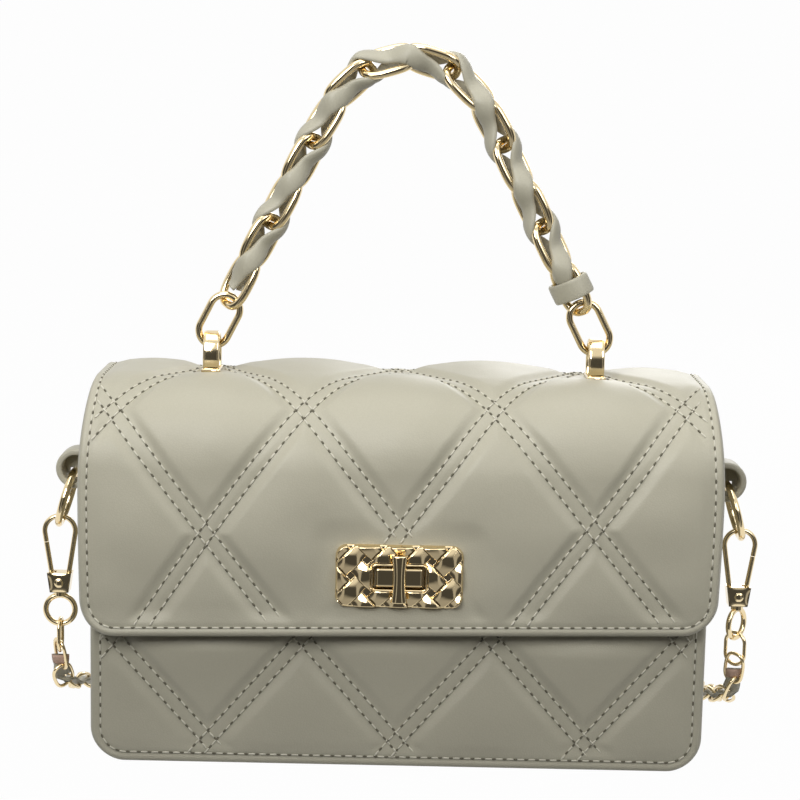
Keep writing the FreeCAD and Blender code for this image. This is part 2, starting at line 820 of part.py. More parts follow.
def make_loop(place):
    """A strap bent over like a bridge on a flat foot, tapped from below."""
    outer = loop_gap / 2 + loop_strap
    y, inner = outer, loop_gap / 2
    crown = loop_rise - inner
    profile = Part.Wire([
        line(Vector(0, -y, 0), Vector(0, -y, crown)),
        arc(Vector(0, -y, crown), Vector(0, 0, crown + outer), Vector(0, y, crown)),
        line(Vector(0, y, crown), Vector(0, y, 0)),
        line(Vector(0, y, 0), Vector(0, -y, 0)),
    ])
    hole = Part.Wire([
        line(Vector(0, -inner, loop_base), Vector(0, -inner, crown)),
        arc(Vector(0, -inner, crown), Vector(0, 0, crown + inner), Vector(0, inner, crown)),
        line(Vector(0, inner, crown), Vector(0, inner, loop_base)),
        line(Vector(0, inner, loop_base), Vector(0, -inner, loop_base)),
    ])
    side = ACROSS * loop_width
    strap = Part.Face(profile).extrude(side).cut(Part.Face(hole).extrude(side))
    strap.translate(side * -0.5)
    foot = block(-loop_width / 2 - loop_foot / 2, loop_width / 2 + loop_foot / 2,
                 -y - loop_foot, y + loop_foot, 0, loop_foot)
    loop = strap.fuse(foot).cut(rod(screw_radius, HERE, UP * screw_bite))
    loop.translate(place)
    return loop


def make_loop_fixings():
    """Washers and screws inside the flap, one pair for each loop."""
    washers, screws = [], []
    for place in loop_places():
        under = place - UP * stack
        face = under - UP * loop_washer_thick
        hole = rod(screw_radius + screw_fit, face - UP * overrun, under + UP * overrun)
        washers.append(rod(loop_washer_radius, face, under).cut(hole))
        head = rod(screw_head, face - UP * screw_head_thick, face)
        screws.append(head.fuse(rod(screw_radius, face, place + UP * screw_bite)))
    return Part.makeCompound(washers), Part.makeCompound(screws)


def make_tab():
    """A leather strip folded into a loop on the side seam, open from front to back."""
    def outline(half, start):
        centre = half_width + tab_reach - tab_half
        y = -tab_width / 2
        edges = [
            line(Vector(start, y, half), Vector(centre, y, half)),
            arc(Vector(centre, y, half), Vector(centre + half, y, 0), Vector(centre, y, -half)),
            line(Vector(centre, y, -half), Vector(start, y, -half)),
            line(Vector(start, y, -half), Vector(start, y, half)),
        ]
        return Part.Face(Part.Wire(edges)).extrude(BACK * tab_width)
    tab = outline(tab_half, half_width).cut(outline(tab_half - tab_wall, half_width + tab_wall))
    tab.translate(UP * tab_height)
    return tab


def ring_pivot():
    """The middle of the ring's wire where it hangs in the tab."""
    hole = Vector(half_width + tab_reach - tab_half, 0, tab_height)
    sag = ring_radius - math.sqrt(ring_radius ** 2 - (tab_width / 2) ** 2)
    room = tab_half - tab_wall - ring_wire / 2 - sag - ring_play
    lean = math.radians(ring_lean + ring_swing / 2)
    return hole + Vector(math.sin(lean), 0, -math.cos(lean)) * room


def ring_foot():
    """The middle of the ring's wire at its lowest, where the hook hangs."""
    lean = math.radians(ring_lean)
    return ring_pivot() + Vector(math.sin(lean), 0, -math.cos(lean)) * (2 * ring_radius)


def make_ring():
    lean = math.radians(ring_lean)
    centre = (ring_pivot() + ring_foot()) / 2
    return Part.makeTorus(ring_radius, ring_wire / 2, centre, Vector(math.cos(lean), 0, math.sin(lean)))


def hook_arch_centre():
    return ring_foot() + UP * (ring_wire / 2 + hook_play + hook_wire / 2 - hook_arch)


def gate_foot():
    """The gate's pin, on the outer side at the top of the hook's block."""
    arch = hook_arch_centre()
    return Vector(arch.x + hook_neck, 0, arch.z - hook_drop)


def arch_end():
    """Where the hook's outer side runs into its arch, tangent to it."""
    foot = gate_foot() - hook_arch_centre()
    across = Vector(-foot.z, 0, foot.x)
    square = foot.Length ** 2
    rise = hook_arch * math.sqrt(square - hook_arch ** 2)
    return hook_arch_centre() + (foot * hook_arch ** 2 + across * rise) / square


def gate_line():
    """The direction of the hook's outer side, from the pin up to the arch."""
    along = arch_end() - gate_foot()
    along.normalize()
    return along


def make_hook():
    """A cast frame: block, inner side, arch and the nose that the gate closes on."""
    arch, foot, outer = hook_arch_centre(), gate_foot(), arch_end()
    inner = Vector(2 * arch.x - outer.x, 0, outer.z)
    sunk = foot - gate_line() * block_sink
    inner_foot = Vector(2 * arch.x - sunk.x, 0, sunk.z)
    path = Part.Wire([
        line(inner_foot, inner),
        arc(inner, arch + UP * hook_arch, outer),
        line(outer, outer - gate_line() * nose_drop),
    ])
    ring = Part.Wire(Part.makeCircle(hook_wire / 2, inner_foot, inner - inner_foot))
    frame = path.makePipeShell([ring], True, False)
    top, low = foot.z + gate_knuckle, foot.z + gate_knuckle - block_tall
    sides = [Vector(-block_top / 2, 0, top), Vector(block_top / 2, 0, top),
             Vector(block_bottom / 2, 0, low), Vector(-block_bottom / 2, 0, low)]
    body = Part.Face(Part.makePolygon(sides + sides[:1])).extrude(BACK * block_depth)
    body.translate(Vector(arch.x, -block_depth / 2, 0))
    slot_half = gate_knuckle_width / 2 + gate_slot_gap
    slot = block(foot.x - gate_knuckle - gate_slot_gap, foot.x + block_top, -slot_half, slot_half,
                 foot.z - gate_knuckle - gate_slot_gap, top + overrun)
    pin_way = rod(gate_pin, foot - BACK * block_depth, foot + BACK * block_depth)
    axis = Vector(arch.x, 0, low)
    bore = rod(post_radius + post_fit, axis - UP * overrun, axis + UP * post_neck)
    room = rod(post_head + post_fit, axis + UP * (post_neck - post_fit),
               axis + UP * (post_neck + post_head_tall + post_fit))
    return body.cut(slot).fuse(frame).cut(pin_way).cut(bore).cut(room)


def make_gate():
    foot = gate_foot()
    reach = (arch_end() - foot).Length - nose_drop - gate_tip_gap
    bar = rod(hook_wire / 2, foot, foot + gate_line() * reach)
    half = BACK * (gate_knuckle_width / 2)
    knuckle = rod(gate_knuckle, foot - half, foot + half)
    return bar.fuse(knuckle).cut(rod(gate_pin + gate_fit, foot - half * 2, foot + half * 2))


def make_gate_pin():
    half = BACK * (block_depth / 2)
    return rod(gate_pin, gate_foot() - half, gate_foot() + half)


def swivel_top():
    """The middle of the block's lower face, where the swivel's post goes in."""
    return Vector(hook_arch_centre().x, 0, gate_foot().z + gate_knuckle - block_tall)


def make_eye():
    """A post headed inside the block, a collar and an eye for the strap."""
    top = swivel_top()
    collar_top = top - UP * collar_gap
    head_low = top + UP * post_neck
    post = rod(post_radius, collar_top, head_low)
    head = rod(post_head, head_low, head_low + UP * post_head_tall)
    collar = rod(collar_radius, collar_top - UP * collar_tall, collar_top)
    eye = Part.makeTorus(eye_radius, eye_wire / 2, eye_centre(), BACK)
    return eye.fuse([collar, post, head])


def eye_centre():
    return swivel_top() - UP * (collar_gap + collar_tall + eye_radius)


def make_strap_link():
    low_wire = eye_centre() - UP * eye_radius
    top_wire = low_wire + UP * (eye_wire / 2 + strap_link_play + strap_link_wire / 2)
    middle = top_wire - UP * ((strap_link_length + strap_link_wire) / 2)
    return placed(oval_link(strap_link_length, strap_link_width, strap_link_wire), middle, UP, 90)


def turned(shape):
    """The right side's swivel piece, turned on its post."""
    copy = shape.copy()
    copy.rotate(swivel_top(), UP, eye_turn_right)
    return copy


def all_pieces():
    pieces = {}
    pieces["front_panel"], pieces["back_panel"] = make_panels()
    pieces["front_padding"], pieces["back_padding"] = make_paddings()
    pieces["gusset"] = make_gusset()
    pieces["base_board"] = make_board()
    pieces["lining"] = make_lining()
    pieces["flap_cover"], pieces["flap_padding"], pieces["flap_lining"] = make_flap()
    pieces["lock_plate"], pieces["lock_backing"] = make_lock_plate()
    pieces["lock_base"], pieces["lock_washer"] = make_lock_base()
    pieces["lock_toggle"], pieces["lock_clip"] = make_toggle()
    left, right = loop_places()
    pieces["handle_loop_left"], pieces["handle_loop_right"] = make_loop(left), make_loop(right)
    pieces["loop_washers"], pieces["loop_screws"] = make_loop_fixings()
    pieces["handle_end_link_left"], pieces["handle_end_link_right"] = make_end_links()
    for number, link in enumerate(make_handle_links(), 1):
        pieces[f"handle_link_{number:02d}"] = link
    for name, phase in (("a", 0), ("b", math.pi)):
        node = f"handle_strand_{name}"
        pieces[node] = cord(node, strand_points(phase), strand_width)
    pieces["handle_keeper"] = make_keeper()
    sides = {"tab": make_tab, "ring": make_ring, "hook": make_hook, "gate": make_gate,
             "gate_pin": make_gate_pin}
    for name, make in sides.items():
        pieces[f"{name}_right"] = make()
        pieces[f"{name}_left"] = mirrored(pieces[f"{name}_right"])
    for name, make in (("eye", make_eye), ("strap_link", make_strap_link)):
        piece = make()
        pieces[f"{name}_left"], pieces[f"{name}_right"] = mirrored(piece), turned(piece)
    for name, route in (("strap_lead_left", strap_lead_left), ("strap_run", strap_run),
                        ("strap_lead_right", strap_lead_right)):
        pieces[name] = cord(name, route, strap_width)
    return pieces


def main():
    os.makedirs("parts", exist_ok=True)
    for name, shape in all_pieces().items():
        if not shape.isValid() or not shape.Solids:
            print("problem in", name)
        shape.exportStep(f"parts/{name}.step")


main()
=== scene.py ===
"""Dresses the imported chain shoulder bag: quilted leather, woven chain handle, clip-on strap, studio."""

from __future__ import annotations

import json
import logging
import math
from dataclasses import dataclass, field
from enum import Enum
from functools import cached_property
from typing import Any, Callable, Iterable, Sequence

import bmesh
import bpy
import numpy as np
from mathutils import Matrix, Vector

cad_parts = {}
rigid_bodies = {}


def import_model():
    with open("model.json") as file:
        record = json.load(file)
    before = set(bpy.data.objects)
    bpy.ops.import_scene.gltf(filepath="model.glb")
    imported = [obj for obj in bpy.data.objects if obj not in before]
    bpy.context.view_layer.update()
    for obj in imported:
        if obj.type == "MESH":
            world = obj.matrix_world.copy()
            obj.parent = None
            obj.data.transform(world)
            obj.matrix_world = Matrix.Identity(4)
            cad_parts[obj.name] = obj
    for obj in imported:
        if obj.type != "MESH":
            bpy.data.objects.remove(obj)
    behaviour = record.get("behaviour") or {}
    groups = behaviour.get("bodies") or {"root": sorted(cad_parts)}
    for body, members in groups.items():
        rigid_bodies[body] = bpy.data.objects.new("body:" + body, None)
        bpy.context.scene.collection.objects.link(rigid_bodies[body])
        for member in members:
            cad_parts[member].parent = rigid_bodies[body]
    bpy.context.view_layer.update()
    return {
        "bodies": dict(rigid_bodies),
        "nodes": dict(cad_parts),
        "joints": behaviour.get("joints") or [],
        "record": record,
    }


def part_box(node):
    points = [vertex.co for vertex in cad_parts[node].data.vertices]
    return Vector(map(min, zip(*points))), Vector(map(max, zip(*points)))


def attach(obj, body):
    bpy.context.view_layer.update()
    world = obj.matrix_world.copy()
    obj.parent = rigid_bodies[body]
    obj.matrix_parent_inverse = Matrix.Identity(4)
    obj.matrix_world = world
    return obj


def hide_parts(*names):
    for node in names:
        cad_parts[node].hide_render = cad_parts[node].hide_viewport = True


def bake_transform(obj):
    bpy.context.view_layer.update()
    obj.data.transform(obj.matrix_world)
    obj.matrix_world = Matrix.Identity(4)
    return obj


MM = 0.001
WHITE = (1.0, 1.0, 1.0, 1.0)
LOCK_HEIGHT = 69.0
LOOP_X = 66.85
ACROSS, BACK, UP = np.eye(3)
Point = tuple[float, float, float]
Colour = tuple[float, float, float]
Face = tuple[int, ...]
Surface = Callable[[np.ndarray, np.ndarray], tuple[np.ndarray, np.ndarray]]
log = logging.getLogger("chain_bag")


class Side(Enum):
    """The two sides of the bag, seen from the front, with their sign along X."""

    LEFT = -1
    RIGHT = 1

    @property
    def word(self) -> str:
        """The side's word in node names."""
        return self.name.lower()


class Weave(Enum):
    """How a strip lies in the handle: the two strips start half a turn apart."""

    A = 0.0
    B = math.pi


def smoothstep(value: np.ndarray | float) -> np.ndarray:
    """Rises from 0 to 1 with no corner at either end."""
    t = np.clip(value, 0.0, 1.0)
    return t * t * (3.0 - 2.0 * t)


# Shader building


class NodeDesk:
    """Places and links the nodes of one tree."""

    def __init__(self, tree: bpy.types.NodeTree) -> None:
        """Keeps the tree that the nodes go to."""
        self.tree = tree

    def add(self, kind: str, **values: Any) -> bpy.types.Node:
        """Adds a node.

        Args:
            kind: the node's type name.
            values: properties of the node, or sockets and values for its inputs: in_ and a number names an input by
                its place, and a capital letter starts an input's label, with _ for spaces.

        Returns:
            The new node.
        """
        node = self.tree.nodes.new(kind)
        for name, value in values.items():
            if name.startswith("in_"):
                self.feed(node.inputs[int(name[3:])], value)
            elif name[0].isupper():
                self.feed(node.inputs[name.replace("_", " ")], value)
            else:
                setattr(node, name, value)
        return node

    def feed(self, target: bpy.types.NodeSocket, value: Any) -> None:
        """Links a socket to an input, or sets the input to a value."""
        if isinstance(value, bpy.types.NodeSocket):
            self.tree.links.new(value, target)
        else:
            target.default_value = value

    def math(self, operation: str, first: Any, second: Any = 0.5) -> bpy.types.NodeSocket:
        """Adds a Math node on sockets or numbers and returns its output."""
        return self.add("ShaderNodeMath", operation=operation, in_0=first, in_1=second).outputs[0]


class MaterialDesk(NodeDesk):
    """A desk on a new material and its Principled shader."""

    def __init__(self, name: str) -> None:
        """Starts the material."""
        self.material = bpy.data.materials.new(name)
        self.material.use_nodes = True
        super().__init__(self.material.node_tree)
        self.shader = self.tree.nodes["Principled BSDF"]

    @cached_property
    def place(self) -> bpy.types.NodeSocket:
        """The Object coordinate."""
        return self.add("ShaderNodeTexCoord").outputs["Object"]

    def set(self, **values: Any) -> None:
        """Feeds the shader's inputs, by label with _ for spaces."""
        for name, value in values.items():
            self.feed(self.shader.inputs[name.replace("_", " ")], value)

    def patina(self, effects: SharedEffects, colour: Colour, deep: Colour, amount: float) -> bpy.types.Node:
        """Colours the shader through the patina group and returns the group's node."""
        node = self.add("ShaderNodeGroup", node_tree=effects.patina, in_0=self.place, in_1=(*colour, 1.0),
                        in_2=(*deep, 1.0), in_3=amount)
        self.set(Base_Color=node.outputs[0])
        return node

    def bump(self, height: bpy.types.NodeSocket, strength: float, distance: float) -> None:
        """Gives the shader's surface a fine relief."""
        node = self.add("ShaderNodeBump", Strength=strength, Distance=distance, Height=height)
        self.set(Normal=node.outputs[0])


def node_group(name: str, kind: str, inputs: Sequence[tuple[str, str, Any]], outputs: Sequence[tuple[str, str]]
               ) -> tuple[bpy.types.NodeTree, NodeDesk, bpy.types.Node, bpy.types.Node]:
    """Starts a node group.

    Args:
        name: the group's name.
        kind: the type of its tree.
        inputs: name, socket type and default of each input.
        outputs: name and socket type of each output.

    Returns:
        The tree, a desk on it, and its input and output nodes.
    """
    tree = bpy.data.node_groups.new(name, kind)
    for label, socket_kind, default in inputs:
        socket = tree.interface.new_socket(label, in_out="INPUT", socket_type=f"NodeSocket{socket_kind}")
        if default is not None:
            socket.default_value = default
    for label, socket_kind in outputs:
        tree.interface.new_socket(label, in_out="OUTPUT", socket_type=f"NodeSocket{socket_kind}")
    desk = NodeDesk(tree)
    return tree, desk, desk.add("NodeGroupInput"), desk.add("NodeGroupOutput")


class SharedEffects:
    """The node groups that more than one finish uses."""

    def __init__(self) -> None:
        """Builds each group once."""
        self.grain = self._grain()
        self.patina = self._patina()
        self.polish = self._polish()

    @staticmethod
    def _grain() -> bpy.types.NodeTree:
        """Fine leather grain: small cells, pores and a soft swell, as a height and a pore mask."""
        tree, desk, into, out = node_group(
            "leather_grain", "ShaderNodeTree",
            [("Vector", "Vector", None), ("Cells per metre", "Float", 900.0), ("Pore depth", "Float", 0.5)],
            [("Height", "Float"), ("Pores", "Float")])
        place, cells_per_metre, depth = into.outputs[:3]
        warp = desk.add("ShaderNodeTexNoise", in_0=place, in_2=260.0, in_3=2.0)
        bend = desk.add("ShaderNodeVectorMath", operation="MULTIPLY_ADD", in_0=warp.outputs[1],
                        in_1=(0.0012, 0.0012, 0.0012), in_2=place)
        cells = desk.add("ShaderNodeTexVoronoi", feature="DISTANCE_TO_EDGE", Vector=bend.outputs[0],
                         Scale=cells_per_metre)
        crease = desk.math("MINIMUM", desk.math("MULTIPLY", cells.outputs["Distance"], 5.0), 1.0)
        fine = desk.add("ShaderNodeTexNoise", in_0=place, in_2=desk.math("MULTIPLY", cells_per_metre, 2.2), in_3=3.0)
        pores = desk.math("MULTIPLY", desk.math("SUBTRACT", 1.0, crease), depth)
        slow = desk.add("ShaderNodeTexNoise", in_0=place, in_2=150.0, in_3=1.0)
        swell = desk.math("ADD", desk.math("MULTIPLY", fine.outputs[0], 0.35),
                          desk.math("MULTIPLY", slow.outputs[0], 3.0))
        desk.feed(out.inputs[0], desk.math("SUBTRACT", swell, pores))
        desk.feed(out.inputs[1], pores)
        return tree

    @staticmethod
    def _patina() -> bpy.types.NodeTree:
        """Slow colour drift over a surface, and a darkening that grows with the Pores input."""
        tree, desk, into, out = node_group(
            "slow_patina", "ShaderNodeTree",
            [("Vector", "Vector", None), ("Colour", "Color", (0.5, 0.5, 0.5, 1.0)),
             ("Deep colour", "Color", (0.3, 0.3, 0.3, 1.0)), ("Amount", "Float", 0.2), ("Pores", "Float", 0.0)],
            [("Colour", "Color"), ("Drift", "Float")])
        place, colour, deep, amount, pores = into.outputs[:5]
        drift = desk.add("ShaderNodeTexNoise", in_0=place, in_2=22.0, in_3=4.0)
        share = desk.math("ADD", desk.math("MULTIPLY", drift.outputs[0], amount), desk.math("MULTIPLY", pores, 0.35))
        mix = desk.add("ShaderNodeMix", data_type="RGBA", in_0=desk.math("MINIMUM", share, 1.0), in_6=colour, in_7=deep)
        desk.feed(out.inputs[0], mix.outputs[2])
        desk.feed(out.inputs[1], drift.outputs[0])
        return tree

    @staticmethod
    def _polish() -> bpy.types.NodeTree:
        """Polishing marks and handling smears on plated metal, as roughness and a small height."""
        tree, desk, into, out = node_group(
            "plating_polish", "ShaderNodeTree",
            [("Vector", "Vector", None), ("Roughness", "Float", 0.15), ("Smear", "Float", 0.1)],
            [("Roughness", "Float"), ("Height", "Float")])
        smear = desk.add("ShaderNodeTexNoise", in_0=into.outputs[0], in_2=130.0, in_3=4.0)
        hair = desk.add("ShaderNodeTexNoise", in_0=into.outputs[0], in_2=2600.0, in_3=2.0)
        extra = desk.math("MULTIPLY", smear.outputs[0], into.outputs[2])
        desk.feed(out.inputs[0], desk.math("ADD", into.outputs[1], extra))
        desk.feed(out.inputs[1], hair.outputs[0])
        return tree


@dataclass(frozen=True)
class LeatherFinish:
    """Smooth coated leather with a fine grain."""

    name: str
    colour: Colour = (0.484, 0.46, 0.36)
    deep: Colour = (0.384, 0.357, 0.27)
    roughness: float = 0.46
    cells: float = 1150.0
    grain: float = 0.16

    def make(self, effects: SharedEffects) -> bpy.types.Material:
        """Builds the material from the shared grain and patina groups."""
        desk = MaterialDesk(self.name)
        grain = desk.add("ShaderNodeGroup", node_tree=effects.grain, in_0=desk.place, in_1=self.cells)
        patina = desk.patina(effects, self.colour, self.deep, 0.22)
        desk.feed(patina.inputs[4], grain.outputs["Pores"])
        rough = desk.math("ADD", desk.math("MULTIPLY", patina.outputs["Drift"], 0.14), self.roughness - 0.07)
        desk.bump(grain.outputs["Height"], self.grain, 0.0003)
        desk.set(Roughness=rough, Specular_IOR_Level=0.42, Sheen_Weight=0.08)
        return desk.material


@dataclass(frozen=True)
class GoldFinish:
    """Plated metal, polished, with handling smears."""

    name: str
    colour: Colour = (0.87, 0.72, 0.45)
    deep: Colour = (0.78, 0.61, 0.34)
    roughness: float = 0.06
    smear: float = 0.09

    def make(self, effects: SharedEffects) -> bpy.types.Material:
        """Builds the material from the shared polish and patina groups."""
        desk = MaterialDesk(self.name)
        polish = desk.add("ShaderNodeGroup", node_tree=effects.polish, in_0=desk.place, in_1=self.roughness,
                          in_2=self.smear)
        desk.patina(effects, self.colour, self.deep, 0.5)
        desk.bump(polish.outputs["Height"], 0.04, 0.0001)
        desk.set(Roughness=polish.outputs["Roughness"], Metallic=1.0)
        return desk.material


@dataclass(frozen=True)
class ThreadFinish:
    """Twisted sewing thread."""

    name: str
    colour: Colour = (0.66, 0.635, 0.53)
    deep: Colour = (0.50, 0.475, 0.375)
    roughness: float = 0.65

    def make(self, effects: SharedEffects) -> bpy.types.Material:
        """Builds the material: the patina group for colour and a fine twist for bump."""
        desk = MaterialDesk(self.name)
        desk.patina(effects, self.colour, self.deep, 0.3)
        twist = desk.add("ShaderNodeTexNoise", in_0=desk.place, in_2=6000.0, in_3=1.0)
        desk.bump(twist.outputs[0], 0.4, 0.0001)
        desk.set(Roughness=self.roughness)
        return desk.material


@dataclass(frozen=True)
class ClothFinish:
    """Plain woven lining cloth."""

    name: str
    colour: Colour = (0.33, 0.30, 0.235)
    deep: Colour = (0.22, 0.20, 0.155)
    threads: float = 1900.0
    roughness: float = 0.8

    def make(self, effects: SharedEffects) -> bpy.types.Material:
        """Builds the material from the patina group and two crossed sets of threads."""
        desk = MaterialDesk(self.name)
        patina = desk.patina(effects, self.colour, self.deep, 0.3)
        warp, weft = (desk.add("ShaderNodeTexWave", wave_type="BANDS", bands_direction=axis, Vector=desk.place,
                               Scale=self.threads / 10.0, Distortion=0.4).outputs["Fac"] for axis in ("X", "Z"))
        woven = desk.math("MAXIMUM", warp, weft)
        desk.feed(patina.inputs[4], desk.math("SUBTRACT", 1.0, woven))
        desk.bump(woven, 0.3, 0.0002)
        desk.set(Roughness=self.roughness, Sheen_Weight=0.2)
        return desk.material


class Finishes:
    """Every material of the bag, built once."""

    def __init__(self) -> None:
        """Builds the shared groups and the materials."""
        effects = SharedEffects()
        self.leather = LeatherFinish("greige_leather").make(effects)
        self.strip = LeatherFinish("handle_strip_leather", grain=0.12, roughness=0.44).make(effects)
        self.raw_edge = LeatherFinish("strip_back", colour=(0.66, 0.46, 0.36), deep=(0.55, 0.36, 0.27),
                                      roughness=0.8, grain=0.3).make(effects)
        self.gold = GoldFinish("pale_gold").make(effects)
        self.deep_gold = GoldFinish("deep_gold", colour=(0.86, 0.70, 0.43), deep=(0.76, 0.59, 0.33),
                                    roughness=0.04, smear=0.05).make(effects)
        self.steel = GoldFinish("bright_steel", colour=(0.62, 0.60, 0.56), deep=(0.50, 0.48, 0.45),
                                roughness=0.28).make(effects)
        self.thread = ThreadFinish("cream_thread").make(effects)
        # painted shade: dark beads that stand for the shade in the needle holes, made with the thread's finish
        self.needle_hole = ThreadFinish("needle_shadow", colour=(0.15, 0.14, 0.10), deep=(0.11, 0.10, 0.07),
                                        roughness=0.9).make(effects)
        self.cloth = ClothFinish("lining_cloth").make(effects)
        self.board = ClothFinish("fibre_board", colour=(0.30, 0.22, 0.13), deep=(0.22, 0.16, 0.10)).make(effects)


# Mesh building


def linked(name: str, data: bpy.types.ID) -> bpy.types.Object:
    """Makes an object of some data at the origin and links it to the scene."""
    thing = bpy.data.objects.new(name, data)
    bpy.context.scene.collection.objects.link(thing)
    return thing


def new_piece(name: str, points: Iterable[Sequence[float]], faces: Iterable[Face], material: bpy.types.Material,
              smooth: bool = True, closed: bool = False) -> bpy.types.Object:
    """Makes a mesh object at the origin.

    Args:
        name: the piece's name.
        points: its vertices, in metres.
        faces: its faces, as vertex numbers.
        material: its finish.
        smooth: whether its faces shade smoothly.
        closed: whether it is a closed piece, whose faces are turned to the outside.

    Returns:
        The object, linked to the scene.
    """
    mesh = bpy.data.meshes.new(name)
    mesh.from_pydata([tuple(p) for p in points], [], list(faces))
    mesh.validate()
    mesh.materials.append(material)
    piece = linked(name, mesh)
    if smooth:
        mesh.polygons.foreach_set("use_smooth", [True] * len(mesh.polygons))
    if closed:
        face_outwards(piece)
    return piece


def face_outwards(piece: bpy.types.Object) -> None:
    """Merges doubles and turns a closed piece's faces to the outside."""
    work = bmesh.new()
    work.from_mesh(piece.data)
    bmesh.ops.remove_doubles(work, verts=work.verts, dist=1e-6)
    bmesh.ops.recalc_face_normals(work, faces=work.faces)
    work.to_mesh(piece.data)
    work.free()


def apply_modifiers(piece: bpy.types.Object) -> None:
    """Bakes a piece's modifiers into its mesh."""
    depsgraph = bpy.context.evaluated_depsgraph_get()
    mesh = bpy.data.meshes.new_from_object(piece.evaluated_get(depsgraph))
    old = piece.data
    piece.modifiers.clear()
    piece.data = mesh
    mesh.name = piece.name
    bpy.data.meshes.remove(old)


def seat(piece: bpy.types.Object, body: str, slot: str, *nodes: str) -> None:
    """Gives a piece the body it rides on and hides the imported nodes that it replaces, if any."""
    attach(piece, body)
    if nodes:
        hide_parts(*nodes)


def unit(rows: np.ndarray) -> np.ndarray:
    """Rows of vectors, each made 1 long."""
    return rows / np.linalg.norm(rows, axis=1)[:, None]


def square_to(line: np.ndarray, rows: np.ndarray) -> np.ndarray:
    """Rows of vectors turned square to a line's directions, each made 1 long."""
    return unit(rows - line * np.sum(rows * line, axis=1)[:, None])


def points_at(marks: np.ndarray, places: np.ndarray, line: np.ndarray) -> np.ndarray:
    """The points at some marks along a line whose own points lie at the given places."""
    return np.stack([np.interp(marks, places, line[:, k]) for k in range(3)], axis=1)


def drawn_in(height: np.ndarray, corner: float) -> np.ndarray:
    """How far a round lower corner draws an outline in at a height above its edge."""
    low = np.clip(corner - height, 0, corner)
    return corner - np.sqrt(np.maximum(corner ** 2 - low ** 2, 0))


def grid_faces(rows: int, columns: int) -> list[Face]:
    """Quads over a grid of points."""
    return [(i * columns + j, i * columns + j + 1, (i + 1) * columns + j + 1, (i + 1) * columns + j)
            for i in range(rows - 1) for j in range(columns - 1)]


def sheet_faces(rows: int, columns: int, rimmed: bool = True) -> list[Face]:
    """Quads over a grid of points and over a second grid behind it, and along the rim between them if asked."""
    faces, back = [], rows * columns
    for a, b, c, d in grid_faces(rows, columns):
        faces += [(a, b, c, d), (back + a, back + d, back + c, back + b)]
    if rimmed:
        rim = list(range(columns)) + [i * columns + columns - 1 for i in range(1, rows)]
        rim += [(rows - 1) * columns + j for j in range(columns - 2, -1, -1)]
        rim += [i * columns for i in range(rows - 2, 0, -1)]
        faces += [(a, back + a, back + b, b) for a, b in zip(rim, rim[1:] + rim[:1])]
    return faces


def ring_faces(rows: int, columns: int, ring: bool = False) -> list[Face]:
    """Quads from each closed ring of points to the next, and from the last to the first if asked."""
    faces = []
    for i in range(rows if ring else rows - 1):
        a, b = i * columns, (i + 1) % rows * columns
        for j in range(columns):
            k = (j + 1) % columns
            faces.append((a + j, a + k, b + k, b + j))
    return faces


def full_turn(count: int) -> np.ndarray:
    """Even steps once round, in radians."""
    return np.linspace(0, 2 * math.pi, count, endpoint=False)


def superellipse(turns: np.ndarray, half: tuple[float, float], power: tuple[float, float]) -> np.ndarray:
    """A rounded outline at the given turns, squarer where its powers are low."""
    return np.stack([np.sign(way) * np.abs(way) ** bend * size
                     for way, size, bend in zip((np.cos(turns), np.sin(turns)), half, power)], axis=1)


def strip_outline(count: int, half: float, thick: float, cup: float) -> np.ndarray:
    """A leather strip's outline, in millimetres: rounded at its edges and cupped.

    Args:
        count: how many points lie across it.
        half: its half width.
        thick: half its thickness.
        cup: how far its edges stand off its middle.

    Returns:
        Rows of two lengths, across and up.
    """
    v = np.linspace(-1, 1, count)
    swell = thick * np.sqrt(np.clip(1 - np.abs(v) ** 5, 0, 1))
    upper, lower = (np.stack([v * half, cup * v ** 2 + way * swell], axis=1) for way in (1, -1))
    return np.concatenate([upper, lower[::-1][1:-1]])


def sweep(name: str, path: np.ndarray, sides: np.ndarray, ups: np.ndarray, section: Callable[[int], np.ndarray],
          material: bpy.types.Material, ring: bool = False) -> bpy.types.Object:
    """Sweeps a closed section along a path and caps its ends, or joins them.

    Args:
        name: the piece's name.
        path: the path's points, in metres.
        sides: the section's first axis, at each point or for all.
        ups: the section's second axis, at each point or for all.
        section: gives the section's outline at a point's number, as rows of two lengths.
        material: its finish.
        ring: whether the path runs round to its start.

    Returns:
        The closed piece.
    """
    count = len(section(0))
    sides, ups = (np.broadcast_to(rows, path.shape) for rows in (sides, ups))
    points = [at + sides[i] * a + ups[i] * b for i, at in enumerate(path) for a, b in section(i)]
    faces = ring_faces(len(path), count, ring)
    if not ring:
        last = (len(path) - 1) * count
        faces.append(tuple(reversed(range(count))))
        faces.append(tuple(last + j for j in range(count)))
    return new_piece(name, points, faces, material, closed=True)


# Geometry Nodes for what repeats


